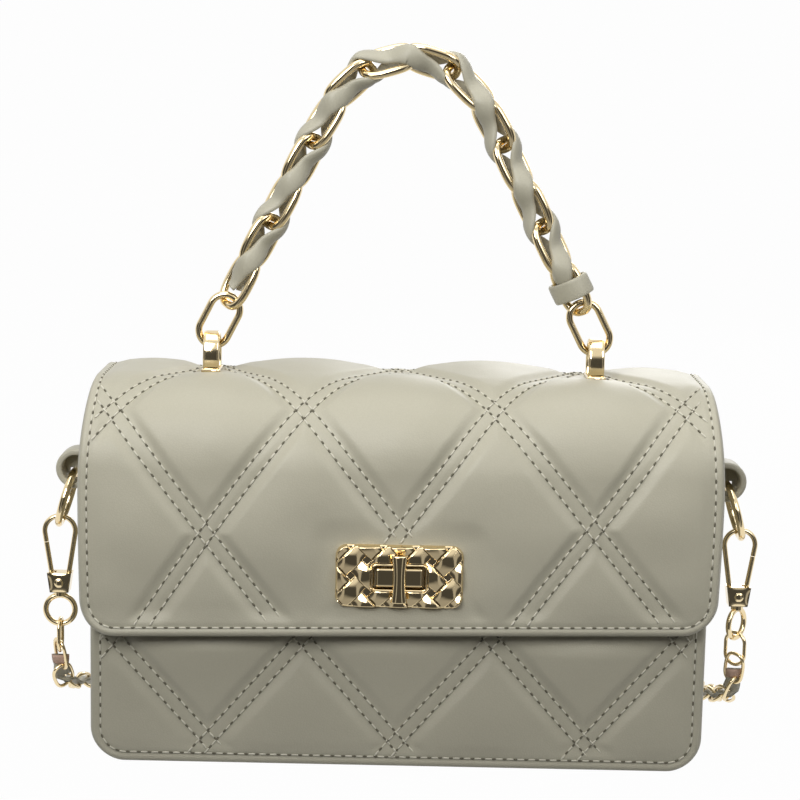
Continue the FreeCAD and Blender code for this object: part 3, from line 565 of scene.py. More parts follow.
class NodeTools:
    """The Geometry Nodes trees: stitches along a seam and links along a chain."""

    def __init__(self) -> None:
        """Builds each tree once."""
        self.stitch_tree = self._stitches()
        self.link_tree = self._links("chain_links", even=True)
        self.placed_link_tree = self._links("placed_links", even=False)

    @staticmethod
    def _start(name: str, inputs: Sequence[tuple[str, str, Any]]) -> tuple[bpy.types.NodeTree, NodeDesk, Any, Any]:
        """Starts a geometry tree with a Geometry input and output, the named inputs and a material."""
        return node_group(name, "GeometryNodeTree",
                          [("Geometry", "Geometry", None), *inputs, ("Material", "Material", None)],
                          [("Geometry", "Geometry")])

    @staticmethod
    def _along(desk: NodeDesk, into: Any, even: bool = True) -> tuple[bpy.types.Node, bpy.types.NodeSocket]:
        """Adds the seam curve, cut into even steps or kept as it is, and the rotation that follows it."""
        line = desk.add("GeometryNodeMeshToCurve", in_0=into.outputs["Geometry"])
        if even:
            line = desk.add("GeometryNodeResampleCurve", mode="LENGTH", Curve=line.outputs[0],
                            Length=into.outputs["Pitch"])
        turn = desk.add("FunctionNodeAxesToRotation", Primary_Axis=desk.add("GeometryNodeInputTangent").outputs[0],
                        Secondary_Axis=desk.add("GeometryNodeInputNormal").outputs[0])
        return line, turn.outputs[0]

    @staticmethod
    def _finish(desk: NodeDesk, instances: bpy.types.Node, into: Any, out: Any) -> None:
        """Ends a tree in Realize Instances, smooth shading and Set Material."""
        real = desk.add("GeometryNodeRealizeInstances", in_0=instances.outputs[0])
        smooth = desk.add("GeometryNodeSetShadeSmooth", in_0=real.outputs[0])
        paint = desk.add("GeometryNodeSetMaterial", Geometry=smooth.outputs[0], Material=into.outputs["Material"])
        desk.feed(out.inputs[0], paint.outputs[0])

    def _stitches(self) -> bpy.types.NodeTree:
        """One rounded stitch at every pitch of a seam."""
        tree, desk, into, out = self._start("stitch_row", [
            ("Pitch", "Float", 0.003), ("Length", "Float", 0.0022), ("Thread", "Float", 0.0005)])
        even, turn = self._along(desk, into)
        thread = into.outputs["Thread"]
        bead = desk.add("GeometryNodeMeshUVSphere", Segments=8, Rings=6, Radius=0.5)
        size = desk.add("ShaderNodeCombineXYZ", in_0=thread, in_1=thread, in_2=into.outputs["Length"])
        each = desk.add("GeometryNodeInstanceOnPoints", Points=even.outputs[0], Instance=bead.outputs[0],
                        Rotation=turn, Scale=size.outputs[0])
        self._finish(desk, each, into, out)
        return tree

    def _links(self, name: str, even: bool) -> bpy.types.NodeTree:
        """An oval wire link at every pitch or point of a chain, each a quarter turn on from the last."""
        tree, desk, into, out = self._start(name, [
            ("Pitch", "Float", 0.009), ("Length", "Float", 0.0117), ("Width", "Float", 0.0077),
            ("Wire", "Float", 0.00065), ("First turn", "Float", 0.0), ("Sides", "Int", 8)])
        spots, turn = self._along(desk, into, even)
        sides = into.outputs["Sides"]
        circle = desk.add("GeometryNodeCurvePrimitiveCircle", Resolution=desk.math("MULTIPLY", sides, 4.0), Radius=1.0)
        spot = desk.add("ShaderNodeSeparateXYZ", in_0=desk.add("GeometryNodeInputPosition").outputs[0])
        fuller = desk.add("ShaderNodeCombineXYZ")
        for axis, size in enumerate(("Width", "Length")):
            full = desk.math("POWER", desk.math("ABSOLUTE", spot.outputs[axis]), 0.72)
            signed = desk.math("MULTIPLY", full, desk.math("SIGN", spot.outputs[axis]))
            half = desk.math("MULTIPLY", into.outputs[size], 0.5)
            desk.feed(fuller.inputs[axis], desk.math("MULTIPLY", signed, half))
        bend = desk.add("GeometryNodeSetPosition", Geometry=circle.outputs[0], Position=fuller.outputs[0])
        ring = desk.add("GeometryNodeCurvePrimitiveCircle", Resolution=sides, Radius=into.outputs["Wire"])
        wire = desk.add("GeometryNodeCurveToMesh", in_0=bend.outputs[0], in_1=ring.outputs[0])
        stand = desk.add("GeometryNodeTransform", in_0=wire.outputs[0], Rotation=(math.pi / 2, 0.0, 0.0))
        odd = desk.math("MODULO", desk.add("GeometryNodeInputIndex").outputs[0], 2.0)
        angle = desk.math("ADD", desk.math("MULTIPLY", odd, math.pi / 2), into.outputs["First turn"])
        spin = desk.add("FunctionNodeAxisAngleToRotation", Axis=(0.0, 0.0, 1.0), Angle=angle)
        both = desk.add("FunctionNodeRotateRotation", rotation_space="LOCAL", in_0=turn, in_1=spin.outputs[0])
        each = desk.add("GeometryNodeInstanceOnPoints", Points=spots.outputs[0], Instance=stand.outputs[0],
                        Rotation=both.outputs[0])
        self._finish(desk, each, into, out)
        return tree

    @staticmethod
    def grow(name: str, runs: Sequence[np.ndarray], tree: bpy.types.NodeTree, **values: Any) -> bpy.types.Object:
        """Runs a tree along lines and keeps the result as a plain mesh.

        Args:
            name: the piece's name.
            runs: each line's points, in metres.
            tree: the tree to run.
            values: the tree's inputs by name, with _ for spaces.

        Returns:
            The finished piece.
        """
        points, edges = [], []
        for run in runs:
            start = len(points)
            points += [tuple(p) for p in run]
            edges += [(start + i, start + i + 1) for i in range(len(run) - 1)]
        mesh = bpy.data.meshes.new(name)
        mesh.from_pydata(points, edges, [])
        piece = linked(name, mesh)
        modifier = piece.modifiers.new("rows", "NODES")
        modifier.node_group = tree
        keys = {item.name: item.identifier for item in tree.interface.items_tree if item.in_out == "INPUT"}
        for label, value in values.items():
            modifier[keys[label.replace("_", " ")]] = value
        apply_modifiers(piece)
        return piece


# Quilting


@dataclass(frozen=True)
class QuiltPattern:
    """Diamonds sewn with double rows, in a panel's own lengths in millimetres."""

    half_wide: float
    half_tall: float
    row_at: float
    tilt: float = 0.0
    pair: float = 2.2

    @property
    def turn(self) -> tuple[float, float]:
        """The cosine and the sine of the pattern's tilt."""
        return math.cos(math.radians(self.tilt)), math.sin(math.radians(self.tilt))

    @property
    def slope(self) -> float:
        """How steeply the rows run."""
        return self.half_tall / self.half_wide

    def turned(self, x: np.ndarray, s: np.ndarray) -> tuple[np.ndarray, np.ndarray]:
        """A panel's lengths in the pattern's own turned axes."""
        c, n = self.turn
        up = s - self.row_at
        return c * x + n * up, c * up - n * x

    def off_lines(self, x: np.ndarray, s: np.ndarray) -> np.ndarray:
        """How far each point is from the middle of the nearest double row."""
        across, up = self.turned(x, s)
        step = 2.0 * self.half_tall
        nearest = None
        for sign in (1.0, -1.0):
            rise = up - sign * self.slope * across
            off = np.abs(rise - np.round(rise / step) * step) / math.hypot(1.0, self.slope)
            nearest = off if nearest is None else np.minimum(nearest, off)
        return nearest

    def rows(self, wide: float, tall: float, step: float = 0.6) -> list[np.ndarray]:
        """Every stitch row over a panel.

        Args:
            wide: the panel's half width.
            tall: the panel's height.
            step: the length between points.

        Returns:
            One array of points, across and up, for each row.
        """
        lean = math.hypot(1.0, self.slope)
        reach = wide + tall
        along = np.arange(-reach, reach, step)
        c, n = self.turn
        rows = []
        for sign in (1.0, -1.0):
            for k in range(-8, 9):
                for off in (-self.pair, self.pair):
                    across = along / lean
                    up = sign * self.slope * across + 2.0 * self.half_tall * k + off * lean
                    rows.append(np.stack([c * across - n * up, n * across + c * up + self.row_at], axis=1))
        return rows


class HeightField:
    """How far a sewn panel stands off its flat cut, on an even grid."""

    def __init__(self, values: np.ndarray, low: tuple[float, float], cell: tuple[float, float]) -> None:
        """Keeps the grid, its lowest corner and its cell."""
        self.values, self.low, self.cell = values, low, cell

    def at(self, x: np.ndarray, s: np.ndarray) -> np.ndarray:
        """Reads the height between grid points."""
        rows, columns = self.values.shape
        u = np.clip((x - self.low[0]) / self.cell[0], 0, columns - 1.001)
        v = np.clip((s - self.low[1]) / self.cell[1], 0, rows - 1.001)
        i, j = v.astype(int), u.astype(int)
        a, b = v - i, u - j
        f = self.values
        return ((1 - a) * (1 - b) * f[i, j] + (1 - a) * b * f[i, j + 1]
                + a * (1 - b) * f[i + 1, j] + a * b * f[i + 1, j + 1])


def evened(values: np.ndarray, passes: int) -> np.ndarray:
    """A grid with its small lumps evened out, a little more with each pass."""
    for _ in range(passes):
        for axis in (0, 1):
            wide = np.pad(values, [(1, 1) if k == axis else (0, 0) for k in (0, 1)], mode="edge")
            low, middle, high = (np.take(wide, range(i, i + values.shape[axis]), axis=axis) for i in range(3))
            values = (low + 2 * middle + high) / 4
    return values


@dataclass
class PadSimulation:
    """Inflates a flat panel, sewn down along its pattern, with Blender's cloth."""

    wide: float
    tall: float
    sewn: Callable[[np.ndarray, np.ndarray], np.ndarray]
    cell: float = 2.0
    slack: float = 0.02
    pressure: float = 6.0
    frames: int = 18
    seed: int = 7

    def run(self) -> HeightField:
        """Simulates the panel and reads back its height, scaled so that its fullest place is 1."""
        columns = int(round(2 * self.wide / self.cell)) + 1
        rows = int(round(self.tall / self.cell)) + 1
        xs, ss = np.linspace(-self.wide, self.wide, columns), np.linspace(0, self.tall, rows)
        x, s = np.meshgrid(xs, ss)
        held = self.sewn(x, s)
        noise = np.random.default_rng(self.seed).normal(0, 0.01, x.shape)
        points = np.stack([x * MM, s * MM, noise * (1 - held) * MM], axis=-1).reshape(-1, 3)
        mesh = bpy.data.meshes.new("pad_cut")
        mesh.from_pydata([tuple(p) for p in points], [], grid_faces(rows, columns))
        panel = linked("pad_cut", mesh)
        scene = bpy.context.scene
        group = panel.vertex_groups.new(name="sewn")
        for number, weight in enumerate(held.reshape(-1)):
            if weight > 0.02:
                group.add([number], float(weight), "REPLACE")
        cloth = panel.modifiers.new("cloth", "CLOTH").settings
        cloth.quality = 6
        cloth.mass = 0.15
        cloth.tension_stiffness = cloth.compression_stiffness = 25.0
        cloth.shear_stiffness = 15.0
        cloth.bending_stiffness = 2.0
        cloth.air_damping = 4.0
        cloth.use_pressure = True
        cloth.uniform_pressure_force = self.pressure
        cloth.shrink_min = -self.slack
        cloth.vertex_group_mass = "sewn"
        cloth.effector_weights.gravity = 0.0
        for frame in range(1, self.frames + 1):
            scene.frame_set(frame)
        shape = panel.evaluated_get(bpy.context.evaluated_depsgraph_get()).data
        found = np.zeros(len(shape.vertices) * 3)
        shape.vertices.foreach_get("co", found)
        heights = found.reshape(rows, columns, 3)[:, :, 2] / MM
        bpy.data.objects.remove(panel)
        bpy.data.meshes.remove(mesh)
        scene.frame_set(1)
        full = np.percentile(np.abs(heights), 99)
        if heights.mean() < 0:
            heights = -heights
        log.info("pad %.0f x %.0f mm stood %.2f mm proud", 2 * self.wide, self.tall, full)
        values = evened(np.clip(heights / max(full, 1e-6), 0.0, 1.25), 12)
        values = values / max(np.percentile(values, 99), 1e-6)
        return HeightField(values, (-self.wide, 0.0), (xs[1] - xs[0], ss[1] - ss[0]))


@dataclass
class QuiltedPanel:
    """A padded, quilted sheet on a base surface, closed by a rolled edge and a plain back.

    Lengths are in millimetres; x runs across, s runs up the panel.
    """

    name: str
    half: float
    tall: float
    corner: float
    pattern: QuiltPattern
    base: Surface
    thick: float = 4.2
    puff: float = 2.9
    sink: float = 0.85
    border: float = 3.2
    roll: float = 2.4
    cell: float = 0.85
    flats: Sequence[tuple[float, float, float, float, float]] = ()
    pressed_from: float = 1e6
    pad: HeightField | None = field(default=None, init=False)

    def half_at(self, s: np.ndarray) -> np.ndarray:
        """The outline's half width at a height, round at the lower corners."""
        return self.half - drawn_in(s, self.corner)

    def edge(self, x: np.ndarray, s: np.ndarray) -> np.ndarray:
        """How far a point lies inside the outline."""
        straight = np.minimum(np.minimum(self.half - np.abs(x), s), self.tall - s)
        cx, cs = self.half - self.corner, self.corner
        out = (np.abs(x) > cx) & (s < cs)
        curved = self.corner - np.hypot(np.abs(x) - cx, s - cs)
        return np.where(out, curved, straight)

    def flatness(self, x: np.ndarray, s: np.ndarray) -> np.ndarray:
        """0 where fittings press the padding flat, 1 away from them."""
        free = np.ones_like(x)
        for cx, cs, hx, hs, fade in self.flats:
            off = np.hypot(np.maximum(np.abs(x - cx) - hx, 0), np.maximum(np.abs(s - cs) - hs, 0))
            free = np.minimum(free, smoothstep(off / fade))
        return free

    def sewn(self, x: np.ndarray, s: np.ndarray) -> np.ndarray:
        """1 on the stitch rows and the border, 0 on the loose leather between."""
        on_rows = self.pattern.off_lines(x, s) < self.pattern.pair + 0.7
        on_border = self.edge(x, s) < self.border + 1.0
        return (on_rows | on_border | (self.flatness(x, s) < 0.05)).astype(float)

    def height(self, x: np.ndarray, s: np.ndarray) -> np.ndarray:
        """How far the quilted face stands off the base surface."""
        off, edge = self.pattern.off_lines(x, s), self.edge(x, s)
        free = self.flatness(x, s)
        inside = smoothstep((edge - self.border - 0.4) / 5.0)
        outside_pair = np.maximum(off - self.pattern.pair, 0)
        ridge = 0.25 * np.cos(np.clip(off / self.pattern.pair, 0, 1) * math.pi / 2)
        groove = -self.sink * (1 - smoothstep(outside_pair / 4.6)) + ridge
        puff = self.puff * np.maximum(self.pad.at(x, s), 0) ** 0.8 * smoothstep(outside_pair / 4.2)
        puff = puff * (1 - 0.75 * smoothstep((s - self.pressed_from) / 8.0))
        hem = -0.55 * np.exp(-((edge - self.border) / 0.9) ** 2)
        rim = -self.thick / 2 * (1 - np.sqrt(np.clip(1 - (1 - np.clip(edge / self.roll, 0, 1)) ** 2, 0, 1)))
        return (puff + groove) * inside * free + hem * (0.3 + 0.7 * free) + rim

    def grid(self) -> tuple[np.ndarray, np.ndarray]:
        """Points over the outline, closer together round its lower corners."""
        turns = np.linspace(0, math.pi / 2, 18)
        low = self.corner * (1 - np.cos(turns))
        high = np.linspace(self.corner, self.tall, int((self.tall - self.corner) / self.cell))
        s = np.concatenate([low, high[1:]])
        u = np.linspace(-1, 1, int(2 * self.half / self.cell))
        return u[None, :] * self.half_at(s)[:, None], np.repeat(s[:, None], len(u), axis=1)

    def build(self, material: bpy.types.Material) -> bpy.types.Object:
        """Inflates the padding and builds the closed sheet.

        Args:
            material: the leather.

        Returns:
            The panel.
        """
        self.pad = PadSimulation(self.half, self.tall, self.sewn).run()
        x, s = self.grid()
        spot, normal = self.base(x, s)
        outer = spot + normal * self.height(x, s)[..., None]
        edge = self.edge(x, s)
        sunk = np.clip(edge / self.roll, 0, 1)
        inner = spot - normal * (self.thick / 2 * (1 + np.sqrt(np.clip(1 - (1 - sunk) ** 2, 0, 1))))[..., None]
        points = np.concatenate([outer.reshape(-1, 3), inner.reshape(-1, 3)]) * MM
        return new_piece(self.name, points, sheet_faces(*x.shape, rimmed=False), material, closed=True)

    def on_face(self, row: np.ndarray, lift: float) -> np.ndarray:
        """Lays a row of across-and-up points on the quilted face, in metres."""
        x, s = row[:, 0], row[:, 1]
        spot, normal = self.base(x, s)
        return (spot + normal * (self.height(x, s) + lift)[:, None]) * MM

    def seam_rows(self, lift: float = 0.12) -> list[np.ndarray]:
        """The quilting's stitch rows, cut where the border and the fittings are."""
        runs = []
        for row in self.pattern.rows(self.half, self.tall):
            x, s = row[:, 0], row[:, 1]
            keep = (self.edge(x, s) > self.border + 1.4) & (self.flatness(x, s) > 0.02)
            runs += [self.on_face(row[part], lift) for part in runs_of(keep) if part.stop - part.start > 6]
        return runs

    def hem_row(self, inset: float, lift: float = 0.12, top: bool = False) -> list[np.ndarray]:
        """The stitch row along the edge.

        Args:
            inset: how far inside the edge it runs.
            lift: how far above the face it lies.
            top: whether it closes along the top edge too.

        Returns:
            The row, as a list of one run.
        """
        r, step = self.corner - inset, 0.8
        cx = self.half - self.corner
        turns = np.linspace(0, math.pi / 2, 30)
        side = np.arange(self.corner, self.tall - inset, step)[::-1]
        left = [(-self.half + inset, s) for s in side]
        left += [(-cx - r * math.cos(t), self.corner - r * math.sin(t)) for t in turns]
        floor = [(x, inset) for x in np.arange(-cx, cx, step)]
        right = [(-x, s) for x, s in reversed(left)]
        line = left + floor + right
        if top:
            line += [(x, self.tall - inset) for x in np.arange(-self.half + inset, self.half - inset, step)[::-1]]
        return [self.on_face(np.array(line), lift)]


def runs_of(keep: np.ndarray) -> list[slice]:
    """The unbroken stretches of a mask."""
    marks = np.flatnonzero(np.diff(np.concatenate([[0], keep.astype(int), [0]])))
    return [slice(a, b) for a, b in zip(marks[::2], marks[1::2])]


# Sub-assemblies


@dataclass
class StitchStyle:
    """The sewing thread's sizes."""

    pitch: float = 3.7
    length: float = 2.6
    thread: float = 0.68
    # sizes of the dark beads of painted shade in the needle holes
    hole_length: float = 1.6
    hole_thread: float = 0.74

    def sew(self, name: str, runs: list[np.ndarray], tools: NodeTools, finishes: Finishes, body: str) -> None:
        """Sews a body's seams: the thread, and dark beads of painted shade in the needle holes between its stitches."""
        pitch = self.pitch * MM
        counts = [int(run_length(run) / pitch) for run in runs]
        whole = [part_of(run, 0.0, n * pitch) for run, n in zip(runs, counts) if n > 2]
        between = [part_of(run, pitch / 2, (n - 1) * pitch) for run, n in zip(runs, counts) if n > 2]
        # the second row is painted shade: dark beads in the needle holes between the stitches
        for word, rows, length, thick, finish in (
                ("stitches", whole, self.length, self.thread, finishes.thread),
                ("needle_holes", between, self.hole_length, self.hole_thread, finishes.needle_hole)):
            piece = tools.grow(f"{name}_{word}", rows, tools.stitch_tree, Pitch=pitch, Length=length * MM,
                               Thread=thick * MM, Material=finish)
            seat(piece, body, "bag_leather")
        log.info("%s: %d seams", name, len(runs))


def walked_along(run: np.ndarray) -> np.ndarray:
    """How far along a line each of its points lies."""
    return np.concatenate([[0], np.cumsum(np.linalg.norm(np.diff(run, axis=0), axis=1))])


def run_length(run: np.ndarray) -> float:
    """A line's length."""
    return float(walked_along(run)[-1])


def part_of(run: np.ndarray, start: float, length: float) -> np.ndarray:
    """The part of a line that starts a length along it, a hair longer so that its last step stays whole."""
    walked = walked_along(run)
    end = start + length + 1e-6
    marks = np.concatenate([[start], walked[(walked > start) & (walked < end)], [end]])
    return points_at(marks, walked, run)


@dataclass
class Flap:
    """The quilted flap over the top and down the front."""

    half: float = 107.5
    face: float = -39.2
    low: float = 48.0
    corner: float = 12.0
    front_centre: tuple[float, float] = (-10.2, 103.0)
    front_radius: float = 29.0
    back_centre: tuple[float, float] = (14.0, 113.0)
    back_radius: float = 19.0
    hinge: float = 112.3
    skew: float = 0.019

    @property
    def lengths(self) -> tuple[float, float, float, float]:
        """The profile's stretches: front, front shoulder, top, back shoulder."""
        return (self.front_centre[1] - self.low, self.front_radius * math.pi / 2,
                self.back_centre[0] - self.front_centre[0], self.back_radius * math.pi / 2)

    @property
    def tall(self) -> float:
        """The flap's length along its outside, from the lower edge to the back seam."""
        return sum(self.lengths) + self.back_centre[1] - self.hinge

    def base(self, x: np.ndarray, s: np.ndarray) -> tuple[np.ndarray, np.ndarray]:
        """The flap's outer surface and its normal at a length along the profile."""
        a, b, c, d = self.lengths
        y, z = np.full_like(s, self.face), self.low + s
        ny, nz = np.full_like(s, -1.0), np.zeros_like(s)
        t = np.clip((s - a) / self.front_radius, 0, math.pi / 2)
        on = s > a
        y = np.where(on, self.front_centre[0] - self.front_radius * np.cos(t), y)
        z = np.where(on, self.front_centre[1] + self.front_radius * np.sin(t), z)
        ny, nz = np.where(on, -np.cos(t), ny), np.where(on, np.sin(t), nz)
        y = np.where(s > a + b, self.front_centre[0] + s - a - b, y)
        t = np.clip((s - a - b - c) / self.back_radius, 0, math.pi / 2)
        on = s > a + b + c
        y = np.where(on, self.back_centre[0] + self.back_radius * np.sin(t), y)
        z = np.where(on, self.back_centre[1] + self.back_radius * np.cos(t), z)
        ny, nz = np.where(on, np.sin(t), ny), np.where(on, np.cos(t), nz)
        z = np.where(s > a + b + c + d, self.back_centre[1] - (s - a - b - c - d), z)
        z = z + self.skew * x * (1 - smoothstep(s / a))
        y = y - (1.2 - 0.7 * np.sin(x / 70.0)) * (1 - smoothstep(s / 10.0))
        swell = 0.008 * np.sin(math.pi * np.clip(s / (a + b), 0, 1)) - 0.014 * smoothstep((s - 0.8 * a) / b)
        return np.stack([x * (1 + swell), y, z], axis=-1), np.stack([np.zeros_like(x), ny, nz], axis=-1)

    def build(self, tools: NodeTools, finishes: Finishes) -> None:
        """Builds the quilted cover, its seams and the cloth inside."""
        a, b, _, _ = self.lengths
        top = a + b - self.front_centre[0]
        panel = QuiltedPanel(
            "flap_quilt", self.half, self.tall, self.corner, QuiltPattern(32.3, 43.0, 36.0, tilt=1.4), self.base,
            flats=[(0.0, LOCK_HEIGHT - self.low, 22.0, 11.2, 9.0),
                   *((side.value * LOOP_X, top, 3.4, 5.4, 7.0) for side in Side)])
        cover = panel.build(finishes.leather)
        seat(cover, "flap", "bag_leather", "flap_cover", "flap_padding")
        StitchStyle().sew("flap", panel.seam_rows() + panel.hem_row(3.2), tools, finishes, "flap")
        self.build_lining(finishes)

    def build_lining(self, finishes: Finishes) -> None:
        """Builds the cloth on the flap's inside, with its turned hem."""
        inset, depth, skin = 1.6, 4.3, 0.7
        s = np.concatenate([np.linspace(inset, self.corner, 10), np.linspace(self.corner, self.tall - 0.6, 90)[1:]])
        u = np.linspace(-1, 1, 60)
        half = self.half - inset - drawn_in(s, self.corner)
        x, up = u[None, :] * half[:, None], np.repeat(s[:, None], len(u), axis=1)
        spot, normal = self.base(x, up)
        points = np.concatenate([(spot - normal * (depth + off)).reshape(-1, 3) for off in (0.0, skin)]) * MM
        cloth = new_piece("flap_inside_cloth", points, sheet_faces(*x.shape), finishes.cloth, closed=True)
        seat(cloth, "flap", "cloth_lining", "flap_lining")


@dataclass
class Body:
    """The bag's body: quilted front and back, gusset, lining and tabs."""

    half: float = 105.0
    depth: float = 33.0
    corner: float = 12.0
    front_top: float = 107.0
    gusset_top: float = 111.0
    back_top: float = 112.0

    def plane(self, way: float) -> Surface:
        """The plane of the front panel, for -1, or of the back panel, for 1."""

        def base(x: np.ndarray, s: np.ndarray) -> tuple[np.ndarray, np.ndarray]:
            """The plane's points and its normals."""
            zero = np.zeros_like(x)
            return np.stack([x, zero + way * self.depth, s], axis=-1), np.stack([zero, zero + way, zero], axis=-1)

        return base

    @property
    def seam(self) -> float:
        """How far from the bag's middle the gusset's seams lie."""
        return self.depth - 1.0

    def build(self, tools: NodeTools, finishes: Finishes) -> None:
        """Builds every soft piece of the body and its seams."""
        front = QuiltedPanel("front_quilt", self.half, self.front_top, self.corner,
                             QuiltPattern(32.3, 36.5, 9.0, tilt=0.6), self.plane(-1.0), puff=2.3, pressed_from=40.0,
                             flats=[(0.0, LOCK_HEIGHT, 14.5, 8.0, 7.0)])
        back = QuiltedPanel("back_quilt", self.half, self.back_top, self.corner,
                            QuiltPattern(32.3, 43.0, 27.0), self.plane(1.0), puff=2.5)
        runs = []
        for panel, names in ((front, ("front_panel", "front_padding")), (back, ("back_panel", "back_padding"))):
            piece = panel.build(finishes.leather)
            seat(piece, "bag", "bag_leather", *names)
            runs += panel.seam_rows() + panel.hem_row(3.6, top=True)
        StitchStyle().sew("body", runs, tools, finishes, "bag")
        self.build_gusset(finishes)
        self.build_lining(finishes)
        for side in Side:
            self.build_tab(side, finishes)

    def fold_in(self, y: float, z: float) -> float:
        """How far the gusset's sides are drawn in at a place on them."""
        deepest = 2.4 * smoothstep((z - 14.0) / 40.0) * (1 - 0.25 * smoothstep((z - 95.0) / 20.0))
        return float(deepest * (1 - min(abs(y) / self.seam, 1.0)) ** 1.2)

    def build_gusset(self, finishes: Finishes) -> None:
        """Builds the strip round the sides and base, drawn in between its seams."""
        inset, skin = 0.5, 1.2
        top = np.linspace(self.gusset_top, self.corner, 60)
        turns = np.linspace(0, math.pi / 2, 14)[1:]
        cx = self.half - self.corner
        line = [(-self.half + inset, z, -1.0, 0.0) for z in top]
        r = self.corner - inset
        line += [(-cx - r * math.cos(t), self.corner - r * math.sin(t), -math.cos(t), -math.sin(t)) for t in turns]
        line += [(x, inset, 0.0, -1.0) for x in np.linspace(-cx, cx, 60)[1:-1]]
        line += [(-x, z, -nx, nz) for x, z, nx, nz in reversed(line[:len(top) + len(turns)])]
        line = np.array(line)
        across = np.linspace(-1, 1, 34)
        points = []
        for depth in (0.0, skin):
            for x, z, nx, nz in line:
                for v in across:
                    dip = depth + self.fold_in(v * self.seam, z) + 0.25 * (1 - v * v)
                    if abs(nz) > 0.9:
                        dip = depth
                    points.append((x - nx * dip, v * self.seam, z - nz * dip))
        faces = sheet_faces(len(line), len(across))
        piece = new_piece("gusset_strip", np.array(points) * MM, faces, finishes.leather, closed=True)
        seat(piece, "bag", "bag_leather", "gusset")

    def build_lining(self, finishes: Finishes) -> None:
        """Builds the cloth cup inside, open at the top."""
        half, deep, floor, wall = self.half - 2.6, self.depth - 4.4, 3.0, 0.8
        rings = self._cup(half, deep, floor) + self._cup(half - wall, deep - wall, floor + wall)[::-1]
        count, last = len(rings[0]), (len(rings) - 1) * len(rings[0])
        faces = [tuple(range(count)), *ring_faces(len(rings), count), tuple(last + j for j in reversed(range(count)))]
        piece = new_piece("lining_bag", np.concatenate(rings) * MM, faces, finishes.cloth, closed=True)
        seat(piece, "bag", "cloth_lining", "lining")

    def _cup(self, half: float, deep: float, floor: float) -> list[np.ndarray]:
        """Rings of the lining from its floor to its top, in millimetres."""
        rings, round_low, round_side = [], 9.0, 2.5
        heights = [floor + round_low * (1 - math.cos(t)) for t in np.linspace(0, math.pi / 2, 9)]
        heights += list(np.linspace(floor + round_low, 105.0, 14))[1:]
        for z in heights:
            wide = half - float(drawn_in(z - floor, round_low))
            ring = []
            for quarter, (sx, sy) in enumerate(((1, -1), (1, 1), (-1, 1), (-1, -1))):
                for t in np.linspace(0, math.pi / 2, 5) + (quarter - 1) * math.pi / 2:
                    ring.append((sx * (wide - round_side) + round_side * math.cos(t),
                                 sy * (deep - round_side) + round_side * math.sin(t), z))
                if sx != sy:
                    for y in np.linspace(-1, 1, 20)[1:-1] * (deep - round_side) * sx:
                        ring.append((sx * (wide - self.fold_in(y, z)), y, z))
            rings.append(np.array(ring))
        return rings

    def build_tab(self, side: Side, finishes: Finishes) -> None:
        """Builds a folded leather tab that holds a ring on the gusset."""
        reach, radius, hole, width, height = 16.0, 7.0, 4.8, 5.0, 96.6
        cx, back = self.half + reach - radius, self.half - 2.5
        outline = [(x, height + radius) for x in np.linspace(back, cx, 10)[:-1]]
        outline += [(cx + radius * math.sin(t), height + radius * math.cos(t)) for t in np.linspace(0, math.pi, 25)]
        outline += [(x, height - radius) for x in np.linspace(cx, back, 10)[1:]]
        outline += [(back, z) for z in np.linspace(height - radius, height + radius, 10)[1:-1]]
        rays = [math.atan2(z - height, x - cx) for x, z in outline]
        inside = [(cx + hole * math.cos(t), height + hole * math.sin(t)) for t in rays]
        work = bmesh.new()
        front, eye = ([work.verts.new((side.value * x * MM, -width * MM, z * MM)) for x, z in loop]
                      for loop in (outline, inside))
        for corners in zip(front, front[1:] + front[:1], eye[1:] + eye[:1], eye):
            work.faces.new(corners)
        grown = bmesh.ops.extrude_face_region(work, geom=work.faces[:])
        moved = [v for v in grown["geom"] if isinstance(v, bmesh.types.BMVert)]
        bmesh.ops.translate(work, verts=moved, vec=(0.0, 2 * width * MM, 0.0))
        bmesh.ops.recalc_face_normals(work, faces=work.faces)
        mesh = bpy.data.meshes.new(f"leather_tab_{side.word}")
        work.to_mesh(mesh)
        work.free()
        mesh.materials.append(finishes.leather)
        piece = linked(mesh.name, mesh)
        bevel = piece.modifiers.new("soft_edges", "BEVEL")
        bevel.width, bevel.segments, bevel.limit_method, bevel.angle_limit = 0.8 * MM, 3, "ANGLE", math.radians(50)
        apply_modifiers(piece)
        piece.data.polygons.foreach_set("use_smooth", [abs(face.normal.y) < 0.99 for face in piece.data.polygons])
        seat(piece, "bag", "bag_leather", f"tab_{side.word}")
        self.build_tab_fold(side, cx, height, finishes)

    @staticmethod
    def build_tab_fold(side: Side, cx: float, height: float, finishes: Finishes) -> None:
        """Builds the leather that closes a tab's fold behind its ring, notched for the ring.

        Args:
            side: which tab.
            cx: where the fold's middle lies along X, for the right tab.
            height: the height of its middle.
            finishes: the materials.
        """
        notch, low, radius, faces_at = (cx - 1.9, cx + 3.1), height - 1.0, 5.3, (3.0, 4.2)
        turns = np.linspace(-0.93, math.pi + 1.95, 40)
        rim = [(cx + radius * math.cos(t), height + radius * math.sin(t)) for t in turns]
        rim = [(x, z) for x, z in rim if not (notch[0] < x < notch[1] and z < low)]
        rim += [(notch[0], low), (notch[1], low)]
        count = len(rim)
        points = [(side.value * x * MM, y * MM, z * MM) for y in faces_at for x, z in rim]
        faces = [tuple(range(count)), tuple(reversed(range(count, 2 * count))), *ring_faces(2, count)]
        fold = new_piece(f"leather_tab_fold_{side.word}", points, faces, finishes.leather, smooth=False, closed=True)
        seat(fold, "bag", "bag_leather")


